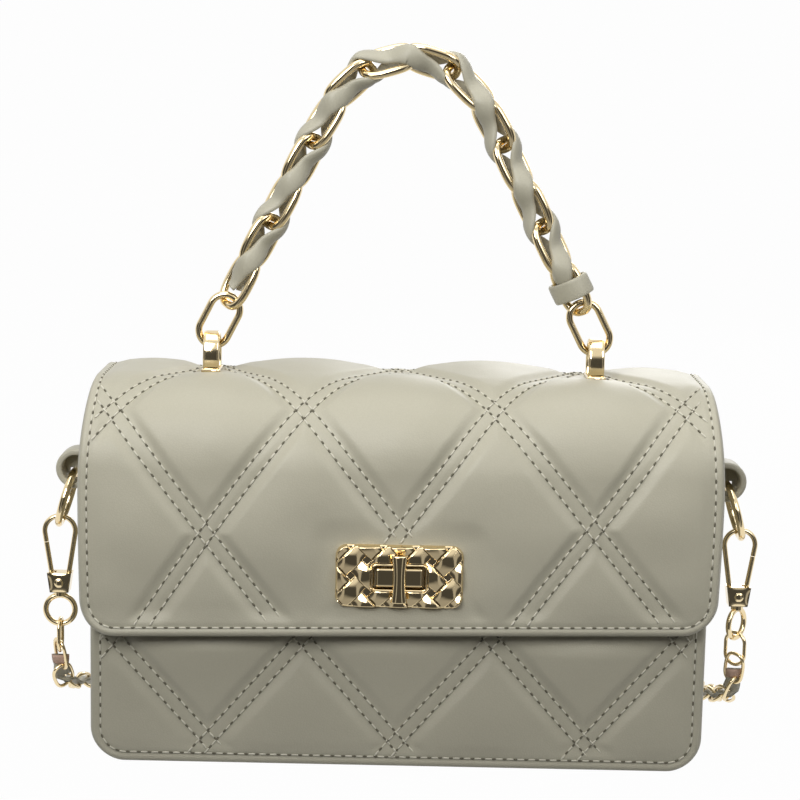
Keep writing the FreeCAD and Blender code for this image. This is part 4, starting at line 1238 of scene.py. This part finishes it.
@dataclass
class Hinge:
    """The flap's hinge: a leather strip in the groove behind and a cloth band inside."""

    half: float = 101.0
    strip_at: float = 31.2
    strip_heights: tuple[float, float] = (108.5, 115.5)
    strip_turn: tuple[float, float] = (110.6, 113.4)
    band_at: float = 27.4
    band_from: float = 101.5
    band_turn: tuple[float, float] = (105.0, 115.0)
    thick: float = 0.5
    shoulder: tuple[float, float, float] = (14.0, 113.0, 13.4)

    def build(self, finishes: Finishes) -> None:
        """Builds the strip and the band."""
        groove = [(self.strip_at, z) for z in np.linspace(*self.strip_heights, 15)]
        self.lay("hinge_strip", groove, finishes.leather)
        y, z, radius = self.shoulder
        inside = [(self.band_at, height) for height in np.linspace(self.band_from, z, 24)]
        inside += [(y + radius * math.cos(t), z + radius * math.sin(t)) for t in np.linspace(0, 0.5, 9)[1:]]
        self.lay("hinge_cloth", inside, finishes.cloth)

    def lay(self, name: str, line: list[tuple[float, float]], finish: bpy.types.Material) -> None:
        """Lays one band along a line of depths and heights.

        Args:
            name: the band's name.
            line: depths and heights from the bag up to the flap.
            finish: the material.
        """
        path = np.array([(0.0, y, z) for y, z in line])
        along = unit(np.gradient(path, axis=0))
        wide, thick = self.half, self.thick / 2
        outline = np.array([(-wide, -thick), (wide, -thick), (wide, thick), (-wide, thick)]) * MM
        band = sweep(name, path * MM, ACROSS, np.cross(along, ACROSS), lambda _: outline, finish)
        band.data.polygons.foreach_set("use_smooth", [False] * len(band.data.polygons))
        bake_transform(band)


@dataclass
class Handle:
    """The chain handle: big links with two leather strips wound round them, and the strips' keeper."""

    start: Point = (-60.97, 0.0, 156.44)
    pitch: float = 15.6
    leg_links: int = 5
    leg: float = 63.0
    shoulder: float = 47.0
    crown: float = 17.0
    link: tuple[float, float] = (18.6, 10.7)
    wire: float = 2.9
    reach_out: float = 5.3
    reach_in: float = 2.7
    wide: float = 7.3
    thick: float = 1.7
    strip_from: float = 0.3
    strip_to: float = 13.62
    strip_points: int = 460
    keeper_at: float = 13.52
    keeper_half: tuple[float, float] = (7.0, 4.9)
    keeper_band: tuple[float, float] = (3.5, 0.75)

    @property
    def angles(self) -> np.ndarray:
        """Each link's slope, from the left end."""
        rising = [self.leg] * self.leg_links + [self.shoulder, self.crown]
        return np.radians(rising + [-a for a in reversed(rising)])

    @property
    def joints(self) -> np.ndarray:
        """Where the links meet, from the left end."""
        slope = self.angles
        steps = np.stack([np.cos(slope), np.zeros(len(slope)), np.sin(slope)], axis=1) * self.pitch
        return np.concatenate([[self.start], np.array(self.start) + np.cumsum(steps, axis=0)])

    def spine(self, t: np.ndarray) -> tuple[np.ndarray, np.ndarray]:
        """The chain's middle line and its direction, counted in links from the left end."""
        joints, slope = self.joints, self.angles
        numbers = np.arange(len(joints))
        spot = points_at(t, numbers, joints)
        turn = np.interp(t, numbers[:-1] + 0.5, slope)
        along = np.stack([np.cos(turn), np.zeros(len(t)), np.sin(turn)], axis=1)
        return spot, along

    def build_strip(self, weave: Weave, finishes: Finishes) -> None:
        """Builds one flat strip: it lies on the face of each link and crosses over where links meet."""
        t = np.linspace(self.strip_from, self.strip_to, self.strip_points)
        spot, along = self.spine(t)
        side = np.cross(BACK, along)
        angle = weave.value + t * math.pi / 2
        pulse = np.cos(2 * math.pi * t)
        reach = (self.reach_out + self.reach_in) / 2 + (self.reach_out - self.reach_in) / 2 * pulse
        ends = smoothstep(np.minimum(t - self.strip_from, self.strip_to - t) / 0.35)
        reach = reach * (0.62 + 0.38 * ends)
        radial = side * np.cos(angle)[:, None] + BACK * np.sin(angle)[:, None]
        path = spot + radial * reach[:, None]
        tangent = unit(np.gradient(path, axis=0))
        radial = square_to(tangent, radial)
        wide = self.wide * (0.94 + 0.06 * pulse) * (0.72 + 0.28 * ends)
        piece = sweep(f"handle_strip_{weave.name.lower()}", path * MM, np.cross(tangent, radial), radial,
                      lambda i: strip_outline(13, wide[i] / 2, self.thick / 2, -0.1 * wide[i]) * MM, finishes.strip)
        seat(piece, "handle", "handle_leather", f"handle_strand_{weave.name.lower()}")

    def build_links(self, tools: NodeTools, finishes: Finishes) -> None:
        """Builds the big links on their joints, by turns a quarter turn apart."""
        joints = self.joints
        middles = (joints[1:] + joints[:-1]) / 2
        chain = tools.grow("handle_chain", [middles * MM], tools.placed_link_tree, Length=self.link[0] * MM,
                           Width=self.link[1] * MM, Wire=self.wire / 2 * MM, First_turn=math.pi / 4, Sides=14,
                           Material=finishes.gold)
        seat(chain, "handle", "chain_gold", *(f"handle_link_{k + 1:02d}" for k in range(len(middles))))

    def build_keeper(self, finishes: Finishes) -> None:
        """Builds the leather band that closes the strips over the last link."""
        spot, along = self.spine(np.array([self.keeper_at]))
        side = np.cross(BACK, along[0])
        flat, deep = (side + BACK) / math.sqrt(2), (BACK - side) / math.sqrt(2)
        shape = superellipse(full_turn(64), self.keeper_half, (0.8, 0.8))
        path = np.array([spot[0] + flat * a + deep * b for a, b in shape])
        outline = superellipse(full_turn(20), self.keeper_band, (0.35, 0.6)) * MM
        band = sweep("handle_leather_keeper", path * MM, along[0], unit(path - spot[0]), lambda _: outline,
                     finishes.strip, ring=True)
        seat(band, "handle", "handle_leather", "handle_keeper")

    def build(self, tools: NodeTools, finishes: Finishes) -> None:
        """Builds the links, both strips and the keeper."""
        self.build_links(tools, finishes)
        for weave in Weave:
            self.build_strip(weave, finishes)
            log.info("handle strip %s", weave.name)
        self.build_keeper(finishes)


@dataclass
class Lock:
    """The lock's show pieces: the woven plate with its framed window, and the turning bar."""

    half: tuple[float, float] = (21.5, 10.8)
    corner: float = 4.0
    window: tuple[float, float] = (8.4, 3.7)
    window_corner: float = 0.7
    back: float = -39.2
    front: float = -39.95
    centre: float = LOCK_HEIGHT
    pitch: float = 7.7
    strip: float = 5.2
    frame: float = 1.3
    frame_rise: float = 2.25

    @staticmethod
    def inside(x: np.ndarray, z: np.ndarray, half: tuple[float, float], corner: float) -> np.ndarray:
        """How far a point lies inside a rounded rectangle, below 0 outside."""
        a, b = np.abs(x) - half[0] + corner, np.abs(z) - half[1] + corner
        return corner - np.hypot(np.maximum(a, 0), np.maximum(b, 0)) - np.minimum(np.maximum(a, b), 0)

    def woven(self, x: np.ndarray, z: np.ndarray) -> np.ndarray:
        """How far the plate's woven strips stand off it."""
        rise = (x + z) / math.sqrt(2), (z - x) / math.sqrt(2)
        top = np.zeros_like(x)
        for along, across, turn in ((rise[0], rise[1], 1.0), (rise[1], rise[0], 0.0)):
            number = np.round(across / self.pitch)
            off = np.abs(across - number * self.pitch) / (self.strip / 2)
            wave = np.cos(math.pi * (along / self.pitch + number + turn))
            crown = 1 - np.clip(off, 0, 1) ** 2.4
            top = np.where(off < 1, np.maximum(top, 1.0 + 0.92 * wave + 0.3 * crown), top)
        return top

    def build_plate(self, finishes: Finishes) -> None:
        """Builds the plate as rings of points from the window out to the edge."""
        wide, tall, r = self.half[0], self.half[1], self.corner
        quarter = [(wide, z) for z in np.arange(0, tall - r, 0.2)]
        quarter += [(wide - r + r * math.cos(t), tall - r + r * math.sin(t)) for t in np.linspace(0, math.pi / 2, 34)]
        quarter += [(x, tall) for x in np.arange(wide - r, 0, -0.2)[1:]]
        half_ring = quarter + [(-x, z) for x, z in reversed(quarter)]
        rim = np.array(half_ring + [(-x, -z) for x, z in half_ring[1:-1]])
        low, high = np.zeros(len(rim)), np.ones(len(rim))
        for _ in range(30):
            share = (low + high) / 2
            hidden = self.inside(rim[:, 0] * share, rim[:, 1] * share, self.window, self.window_corner) > 0
            low, high = np.where(hidden, share, low), np.where(hidden, high, share)
        steps = np.linspace(0, 1, 76)[:, None]
        share = high[None, :] * (1 - steps) + steps
        x, z = rim[None, :, 0] * share, rim[None, :, 1] * share
        edge = self.inside(x, z, self.half, self.corner)
        off = -self.inside(x, z, self.window, self.window_corner)
        height = self.woven(x, z)
        bead = np.sqrt(np.clip(1 - ((off - self.frame / 2) / (self.frame / 2)) ** 2, 0, 1))
        height = np.where(off < self.frame, np.maximum(self.frame_rise * bead, 0.0), height)
        turn = np.clip(1 - edge / 0.9, 0, 1)
        height = height * (1 - turn ** 2) - 0.7 * (1 - np.sqrt(1 - turn ** 2))
        layers = [np.stack([x, self.front - height, z + self.centre], axis=-1)]
        for row in (-1, 0):
            layers.append(np.stack([x[row], np.full(len(rim), self.back), z[row] + self.centre], axis=-1)[None])
        points = np.concatenate(layers)
        faces = ring_faces(*points.shape[:2], ring=True)
        plate = new_piece("lock_woven_plate", points.reshape(-1, 3) * MM, faces, finishes.deep_gold, closed=True)
        seat(plate, "flap", "weave_gold", "lock_plate")

    def build_bar(self, finishes: Finishes) -> None:
        """Builds the waisted turning bar with its rounded face, and its shaft."""
        rear, deep, tall, end, waist, flare = -42.45, 3.0, 8.1, 0.5, 2.2, 0.6
        rounded = -tall + end * (1 - np.cos(np.linspace(0, math.pi / 2, 7)))
        z = np.concatenate([rounded, np.linspace(-tall + end, 0, 14)[1:]])
        z = np.concatenate([z, -z[::-1][1:]])
        half = waist + flare * (np.abs(z) / tall) ** 2
        rounding = np.clip((np.abs(z) - tall + end) / end, 0, 1)
        soft = 0.8 + 0.2 * np.sqrt(1 - rounding ** 2)

        def section(i: int) -> np.ndarray:
            """The bar's outline at a height: flat behind, round in front."""
            v = np.linspace(-1, 1, 17)
            face = deep * soft[i] * (0.45 + 0.55 * np.sqrt(np.clip(1 - v ** 2, 0, 1)))
            upper = np.stack([v * half[i], face], axis=1)
            return np.concatenate([upper, [(half[i] * 0.92, 0.0), (-half[i] * 0.92, 0.0)]]) * MM

        path = np.stack([np.zeros(len(z)), np.full(len(z), rear), z + self.centre], axis=1) * MM
        bar = sweep("lock_turn_bar", path, ACROSS, -BACK, section, finishes.deep_gold)
        ring = superellipse(full_turn(24), (1.5, 1.5), (1.0, 1.0)) * MM
        line = np.array([(0.0, y, self.centre) for y in (rear - 0.5, -36.0, -30.2)]) * MM
        shaft = sweep("lock_turn_shaft", line, ACROSS, UP, lambda _: ring, finishes.steel)
        seat(bar, "toggle", "lock_gold", "lock_toggle")
        seat(shaft, "toggle", "lock_gold")

    def build_boss(self, finishes: Finishes) -> None:
        """Builds the soft-edged face of the boss that fills the window, with a hole for the shaft."""
        clear, hole, rear = 0.65, 1.75, -41.6
        half = self.window[0] - clear, self.window[1] - clear
        turns = full_turn(160)
        cos, sin = np.cos(turns), np.sin(turns)
        reach = np.minimum(half[0] / np.maximum(np.abs(cos), 1e-9), half[1] / np.maximum(np.abs(sin), 1e-9))
        share = np.sin(np.linspace(0, math.pi / 2, 26))[:, None]
        radius = hole * (1 - share) + reach[None, :] * share
        x, z = radius * cos, radius * sin
        edge = np.clip(self.inside(x, z, half, 0.5) / 0.9, 0, 1)
        rise = 0.5 * np.sqrt(1 - (1 - edge) ** 2)
        points = np.stack([x, rear - rise, z + self.centre], axis=-1)
        face = new_piece("lock_boss_face", points.reshape(-1, 3) * MM, ring_faces(*x.shape), finishes.deep_gold)
        seat(face, "bag", "lock_gold")

    def build(self, finishes: Finishes) -> None:
        """Builds the plate, the boss's face and the bar."""
        self.build_plate(finishes)
        self.build_boss(finishes)
        self.build_bar(finishes)


@dataclass(frozen=True)
class StrapStretch:
    """One stretch of the shoulder strap: its node, body and route, and which end hangs on a hook."""

    node: str
    body: str
    route: Sequence[Point]
    hook_first: bool = False
    hook_last: bool = False


@dataclass
class Strap:
    """The clip-on strap: small links woven with a leather strip."""

    width: float = 6.0
    pitch: float = 8.6
    link_length: float = 11.7
    link_width: float = 7.0
    wire: float = 0.65
    strip_wide: float = 6.2
    strip_thick: float = 1.5
    cut_end: float = 3.4
    sway: float = 0.9
    lift: float = 0.7
    step: float = 0.9
    stretches: Sequence[StrapStretch] = (
        StrapStretch("strap_lead_left", "hook_left", (
            (-120.4, 0.0, 28.3), (-120.4, 0.6, 22.4), (-119.8, 5.0, 17.6), (-118.6, 12.0, 14.6),
            (-117.0, 21.0, 11.6), (-114.8, 31.5, 8.4), (-110.0, 41.0, 5.2), (-102.0, 46.6, 3.4),
            (-91.0, 46.8, 3.1)), hook_first=True),
        StrapStretch("strap_run", "bag", (
            (-90.7, 46.8, 3.1), (-70.0, 46.8, 3.1), (-34.0, 45.4, 3.1), (8.0, 47.2, 3.1),
            (48.0, 45.8, 3.1), (71.0, 47.1, 3.1), (92.8, 46.8, 3.1), (104.0, 58.0, 3.1),
            (104.0, 73.8, 3.1), (92.8, 85.0, 3.1), (71.0, 85.4, 3.1), (44.0, 84.0, 3.1),
            (4.0, 85.8, 3.1), (-36.0, 84.0, 3.1), (-70.0, 85.3, 3.1), (-92.8, 85.0, 3.1),
            (-104.0, 96.2, 3.1), (-104.0, 112.0, 3.1), (-92.8, 123.2, 3.1), (-71.0, 123.6, 3.1),
            (-44.0, 122.2, 3.1), (-4.0, 124.0, 3.1), (32.0, 122.6, 3.1), (54.0, 123.2, 3.1),
            (72.0, 123.2, 3.1))),
        StrapStretch("strap_lead_right", "hook_right", (
            (72.3, 123.2, 3.1), (91.8, 123.2, 3.1), (103.4, 116.4, 3.1), (110.4, 104.5, 3.1),
            (112.2, 84.0, 3.1), (113.8, 60.0, 3.4), (115.6, 40.0, 6.4), (117.4, 24.0, 10.6),
            (118.8, 12.0, 14.4), (119.8, 5.0, 17.6), (120.4, 0.6, 22.4), (120.4, 0.0, 28.3)), hook_last=True),
    )

    def smooth_line(self, stretch: StrapStretch) -> np.ndarray:
        """The route as a smooth line, read from its NURBS spline, in metres."""
        curve = bpy.data.curves.new("strap_route", "CURVE")
        curve.dimensions = "3D"
        curve.resolution_u = 14
        spline = curve.splines.new("NURBS")
        spline.points.add(len(stretch.route) - 1)
        for point, spot in zip(spline.points, stretch.route):
            raised = spot[2] + self.lift * float(smoothstep((20.0 - spot[2]) / 10.0))
            point.co = (spot[0] * MM, spot[1] * MM, raised * MM, 1.0)
        spline.order_u = 3
        spline.use_endpoint_u = True
        guide = linked("strap_route", curve)
        mesh = bpy.data.meshes.new_from_object(guide.evaluated_get(bpy.context.evaluated_depsgraph_get()))
        line = np.array([v.co for v in mesh.vertices])
        bpy.data.objects.remove(guide)
        bpy.data.curves.remove(curve)
        bpy.data.meshes.remove(mesh)
        return line

    def build(self, tools: NodeTools, finishes: Finishes) -> None:
        """Builds the three stretches, each with its links."""
        for stretch in self.stretches:
            line = even_line(self.smooth_line(stretch), self.step * MM)
            length = run_length(line)
            ordered = line[::-1] if stretch.hook_last else line
            hooked = stretch.hook_first or stretch.hook_last
            half = self.pitch * MM / 2
            chain = part_of(ordered, 0.0 if hooked else half, length - (half if hooked else 2 * half))
            strip = self.strip(f"{stretch.node}_strip", ordered, finishes.strip)
            links = tools.grow(f"{stretch.node}_links", [chain], tools.link_tree, Pitch=self.pitch * MM,
                               Length=self.link_length * MM, Width=self.link_width * MM, Wire=self.wire * MM,
                               First_turn=math.pi / 4, Material=finishes.gold)
            others = [links]
            if hooked:
                others.append(self.strip(f"{stretch.node}_cut_end", part_of(ordered, 0.0, self.cut_end * MM),
                                         finishes.raw_edge, over=0.16))
            seat(strip, stretch.body, "strap_leather", stretch.node)
            for piece in others:
                seat(piece, stretch.body, "strap_leather")
            log.info("%s: %.0f mm", stretch.node, length / MM)

    def strip(self, name: str, line: np.ndarray, finish: bpy.types.Material, over: float = 0.0) -> bpy.types.Object:
        """Builds leather that weaves from one face of the chain to the other.

        Args:
            name: the piece's name.
            line: the chain's middle line, in metres.
            finish: the leather.
            over: how much wider and thicker than the strip itself it is.

        Returns:
            The piece.
        """
        tangent = unit(np.gradient(line, axis=0))
        upright = np.tile(UP, (len(line), 1))
        if abs(tangent[:, 2]).max() > 0.8:
            lean = smoothstep((np.abs(tangent[:, 2]) - 0.3) / 0.6)[:, None]
            upright = upright * (1 - lean) - BACK * lean
        up = square_to(tangent, upright)
        phase = np.cos(walked_along(line) / (self.pitch * MM) * math.pi)
        path = line + up * (self.sway * MM * phase)[:, None]
        half = (self.strip_wide + over) / 2 * (0.84 + 0.16 * np.abs(phase))
        thick = (self.strip_thick + over) / 2
        return sweep(name, path, np.cross(tangent, up), up,
                     lambda i: strip_outline(7, half[i], thick, -0.5 * phase[i]) * MM, finish)


def even_line(line: np.ndarray, step: float) -> np.ndarray:
    """The same line with its points an even step apart."""
    walked = walked_along(line)
    marks = np.linspace(0, walked[-1], max(int(walked[-1] / step), 8))
    return points_at(marks, walked, line)


@dataclass
class Loops:
    """The two bridge loops that the handle's end links hang in."""

    x: float = LOOP_X
    base: float = 132.0
    reach: float = 5.3
    middle: float = 5.2
    rise: float = 12.9
    wide: float = 5.6
    strap: float = 1.9
    foot: tuple[float, float, float] = (3.3, 6.6, 0.65)

    def build(self, side: Side, finishes: Finishes) -> None:
        """Builds one loop: a rounded strap bent into an arch, on a foot plate."""
        turns = np.linspace(math.radians(-36), math.radians(216), 60)
        arch = superellipse(turns, (self.reach, self.rise - self.middle), (1.0, 0.9))
        path = np.array([(side.value * self.x, y, self.base + self.middle + z) for y, z in arch])
        ahead = np.cross(unit(np.gradient(path, axis=0)), ACROSS)
        outline = superellipse(full_turn(28), (self.wide / 2, self.strap / 2), (0.4, 0.7)) * MM
        strap = sweep(f"bridge_loop_{side.word}", path * MM, ACROSS, ahead, lambda _: outline, finishes.gold)
        half, reach, thick = self.foot
        foot_path = np.array([(side.value * self.x, y, self.base + 0.45) for y in np.linspace(-reach, reach, 12)])
        foot_outline = superellipse(full_turn(28), (half, thick), (0.4, 0.5)) * MM
        foot = sweep(f"bridge_foot_{side.word}", foot_path * MM, ACROSS, UP, lambda _: foot_outline, finishes.gold)
        seat(strap, "flap", "fitting_gold", f"handle_loop_{side.word}")
        seat(foot, "flap", "fitting_gold")


@dataclass
class Hardware:
    """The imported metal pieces, which keep their shapes and get their plating."""

    steel: Sequence[str] = ("lock_backing", "lock_washer", "lock_clip", "loop_washers", "loop_screws")
    board: Sequence[str] = ("base_board",)
    block: tuple[float, float, float, float] = (8.6, 6.6, 7.0, 5.6)
    block_x: float = 120.4
    rivet: float = 1.5
    margin: float = 0.97
    face_points: int = 44

    def dress(self, nodes: dict[str, bpy.types.Object], finishes: Finishes) -> None:
        """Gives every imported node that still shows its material."""
        for name, node in nodes.items():
            finish = finishes.gold
            if name in self.steel:
                finish = finishes.steel
            elif name in self.board:
                finish = finishes.board
            node.data.materials.clear()
            node.data.materials.append(finish)
        for side in Side:
            self.face_block(side, finishes)

    def face_block(self, side: Side, finishes: Finishes) -> None:
        """Builds the pillowed faces, each with its rivet, on the front and back of a hook's block."""
        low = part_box(f"hook_{side.word}")[0][2] / MM
        top_wide, low_wide, tall, deep = self.block
        steps = np.linspace(-1, 1, self.face_points)
        v, u = np.meshgrid(steps, steps, indexing="ij")
        half = (top_wide + low_wide) / 4 + (top_wide - low_wide) / 4 * v
        x, z = u * half * self.margin, (v * self.margin + 1) * tall / 2
        away = np.hypot(x, z - tall / 2) / self.rivet
        rise = 0.42 * (1 - np.abs(u) ** 3) * (1 - np.abs(v) ** 3) - 0.02
        rise = np.where(away < 1, 0.35 + 0.5 * np.sqrt(np.clip(1 - away ** 2, 0, 1)), rise)
        faces = grid_faces(*x.shape)
        for word, way in (("front", -1.0), ("back", 1.0)):
            points = np.stack([x + side.value * self.block_x, way * (deep / 2 + rise), z + low], axis=-1)
            turned = faces if way < 0 else [face[::-1] for face in faces]
            plate = new_piece(f"hook_face_{word}_{side.word}", points.reshape(-1, 3) * MM, turned, finishes.gold)
            seat(plate, f"hook_{side.word}", "fitting_gold")


@dataclass
class Studio:
    """The pale floor, the soft lights and the camera."""

    camera_at: Point = (-0.001, -0.7106, 0.2352)
    tilt: float = 9.0
    roll: float = 1.2
    focal_px: float = 2053.6
    frame_px: float = 800.0
    sensor: float = 36.0
    ambient: float = 0.36
    low_ambient: float = 0.06
    dim: float = 0.07
    backdrop: float = 0.987
    aim: Point = (0.0, 0.0, 0.09)

    def build(self) -> None:
        """Sets the stage."""
        scene = bpy.context.scene
        scene.view_settings.view_transform = "Standard"
        self.set_world(scene)
        self.set_floor()
        self.set_lights()
        self.set_card()
        camera = bpy.data.cameras.new("studio_camera")
        camera.sensor_width = self.sensor
        camera.lens = self.sensor * self.focal_px / self.frame_px
        camera.clip_start, camera.clip_end = 0.01, 50.0
        camera.dof.use_dof = False
        holder = linked("studio_camera", camera)
        holder.matrix_world = (Matrix.Translation(Vector(self.camera_at))
                               @ Matrix.Rotation(math.radians(90.0 - self.tilt), 4, "X")
                               @ Matrix.Rotation(math.radians(self.roll), 4, "Z"))
        scene.camera = holder

    def set_world(self, scene: bpy.types.Scene) -> None:
        """A white backdrop, soft light from above, and a room that the metal mirrors: bright above, dim ahead."""
        world = bpy.data.worlds.new("studio_room")
        world.use_nodes = True
        desk = NodeDesk(world.node_tree)
        room = world.node_tree.nodes["Background"]
        room.inputs["Color"].default_value = WHITE
        way = desk.add("ShaderNodeSeparateXYZ", in_0=desk.add("ShaderNodeTexCoord").outputs["Generated"])

        def ramp(place: bpy.types.NodeSocket, low: float, high: float, first: float = 0.0, last: float = 1.0
                 ) -> bpy.types.NodeSocket:
            """A smooth change from one strength to another between two places."""
            return desk.add("ShaderNodeMapRange", interpolation_type="SMOOTHSTEP", in_0=place, in_1=low, in_2=high,
                            in_3=first, in_4=last).outputs[0]

        behind = ramp(way.outputs["Y"], -0.25, 0.35)
        above = desk.math("MULTIPLY", ramp(way.outputs["Z"], 0.16, 0.42), 0.9)
        below = desk.math("MULTIPLY", desk.math("SUBTRACT", 1.0, ramp(way.outputs["Z"], -0.7, -0.4)), 0.35)
        aside = desk.math("ABSOLUTE", desk.math("SUBTRACT", desk.math("ABSOLUTE", way.outputs["X"]), 0.5))
        bright = desk.math("MAXIMUM", desk.math("MAXIMUM", behind, below), above)
        bright = desk.math("MAXIMUM", bright, ramp(aside, 0.05, 0.1, 0.42, 0.0))
        mirrored = desk.math("ADD", desk.math("MULTIPLY", bright, 1.0 - self.dim), self.dim)
        upward = desk.math("MULTIPLY", ramp(way.outputs["Z"], -0.3, 0.6), self.ambient - self.low_ambient)
        path = desk.add("ShaderNodeLightPath")
        shiny = desk.math("MAXIMUM", path.outputs["Is Glossy Ray"], path.outputs["Is Transmission Ray"])
        soft = desk.add("ShaderNodeMix", data_type="FLOAT", in_0=shiny, in_3=mirrored,
                        in_2=desk.math("ADD", upward, self.low_ambient))
        seen = desk.add("ShaderNodeMix", data_type="FLOAT", in_0=path.outputs["Is Camera Ray"], in_2=soft.outputs[0],
                        in_3=self.backdrop)
        desk.feed(room.inputs["Strength"], seen.outputs[0])
        scene.world = world

    def set_floor(self) -> None:
        """A large pale floor that runs up behind as a sweep, as bright to the camera and to metal as the backdrop."""
        front, back, bend, top, half = -0.07, 1.6, 0.9, 4.0, 4.0
        line = [(y, 0.0) for y in np.linspace(front, back, 12)]
        line += [(back + bend * math.sin(t), bend - bend * math.cos(t)) for t in np.linspace(0, math.pi / 2, 16)[1:]]
        line += [(back + bend, z) for z in np.linspace(bend, top, 6)[1:]]
        points = [(x, y, z) for y, z in line for x in (-half, half)]
        faces = [(2 * i, 2 * i + 1, 2 * i + 3, 2 * i + 2) for i in range(len(line) - 1)]
        desk = MaterialDesk("studio_paper")
        desk.set(Base_Color=(0.4, 0.4, 0.4, 1.0), Roughness=0.9, Specular_IOR_Level=0.1)
        path = desk.add("ShaderNodeLightPath")
        seen = desk.math("MAXIMUM", path.outputs["Is Camera Ray"], path.outputs["Is Glossy Ray"])
        seen = desk.math("MAXIMUM", seen, path.outputs["Is Transmission Ray"])
        glow = desk.add("ShaderNodeEmission", Color=WHITE, Strength=1.0)
        mix = desk.add("ShaderNodeMixShader", in_0=desk.math("MULTIPLY", seen, 0.98), in_1=desk.shader.outputs[0],
                       in_2=glow.outputs[0])
        desk.feed(desk.tree.nodes["Material Output"].inputs["Surface"], mix.outputs[0])
        new_piece("studio_floor", points, faces, desk.material)

    def set_lights(self) -> None:
        """A large soft key from the front left, a fill from the right, a top panel and one behind."""
        spots = [("key", (-0.4, -0.9, 0.62), 0.6, 8.0), ("fill", (0.7, -0.8, 0.65), 0.5, 2.8),
                 ("top", (0.0, -0.12, 1.15), 0.9, 4.1), ("back", (0.35, 1.1, 0.6), 0.6, 4.0)]
        for name, at, size, power in spots:
            lamp = bpy.data.lights.new(f"studio_{name}", "AREA")
            lamp.shape, lamp.size, lamp.energy = "SQUARE", size, power
            holder = linked(f"studio_{name}", lamp)
            holder.location = at
            way = Vector(self.aim) - Vector(at)
            holder.rotation_euler = way.to_track_quat("-Z", "Y").to_euler()

    @staticmethod
    def set_card() -> None:
        """A dark card in front, out of the camera's sight, that shades the lower front softly."""
        desk = MaterialDesk("studio_card")
        desk.set(Base_Color=(0.03, 0.03, 0.03, 1.0))
        corners = [(x, -0.25, z) for x, z in ((-0.5, -0.02), (0.5, -0.02), (0.5, 0.155), (-0.5, 0.155))]
        card = new_piece("studio_card", corners, [(0, 1, 2, 3)], desk.material)
        card.visible_camera = card.visible_glossy = card.visible_transmission = False


def main() -> None:
    """Loads the frame and builds every sub-assembly in order."""
    logging.basicConfig(level=logging.INFO, format="%(name)s: %(message)s")
    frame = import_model()
    finishes, tools = Finishes(), NodeTools()
    Studio().build()
    Hardware().dress(frame["nodes"], finishes)
    Strap().build(tools, finishes)
    Flap().build(tools, finishes)
    Body().build(tools, finishes)
    Hinge().build(finishes)
    Handle().build(tools, finishes)
    Lock().build(finishes)
    for side in Side:
        Loops().build(side, finishes)


if __name__ == "__main__":
    main()
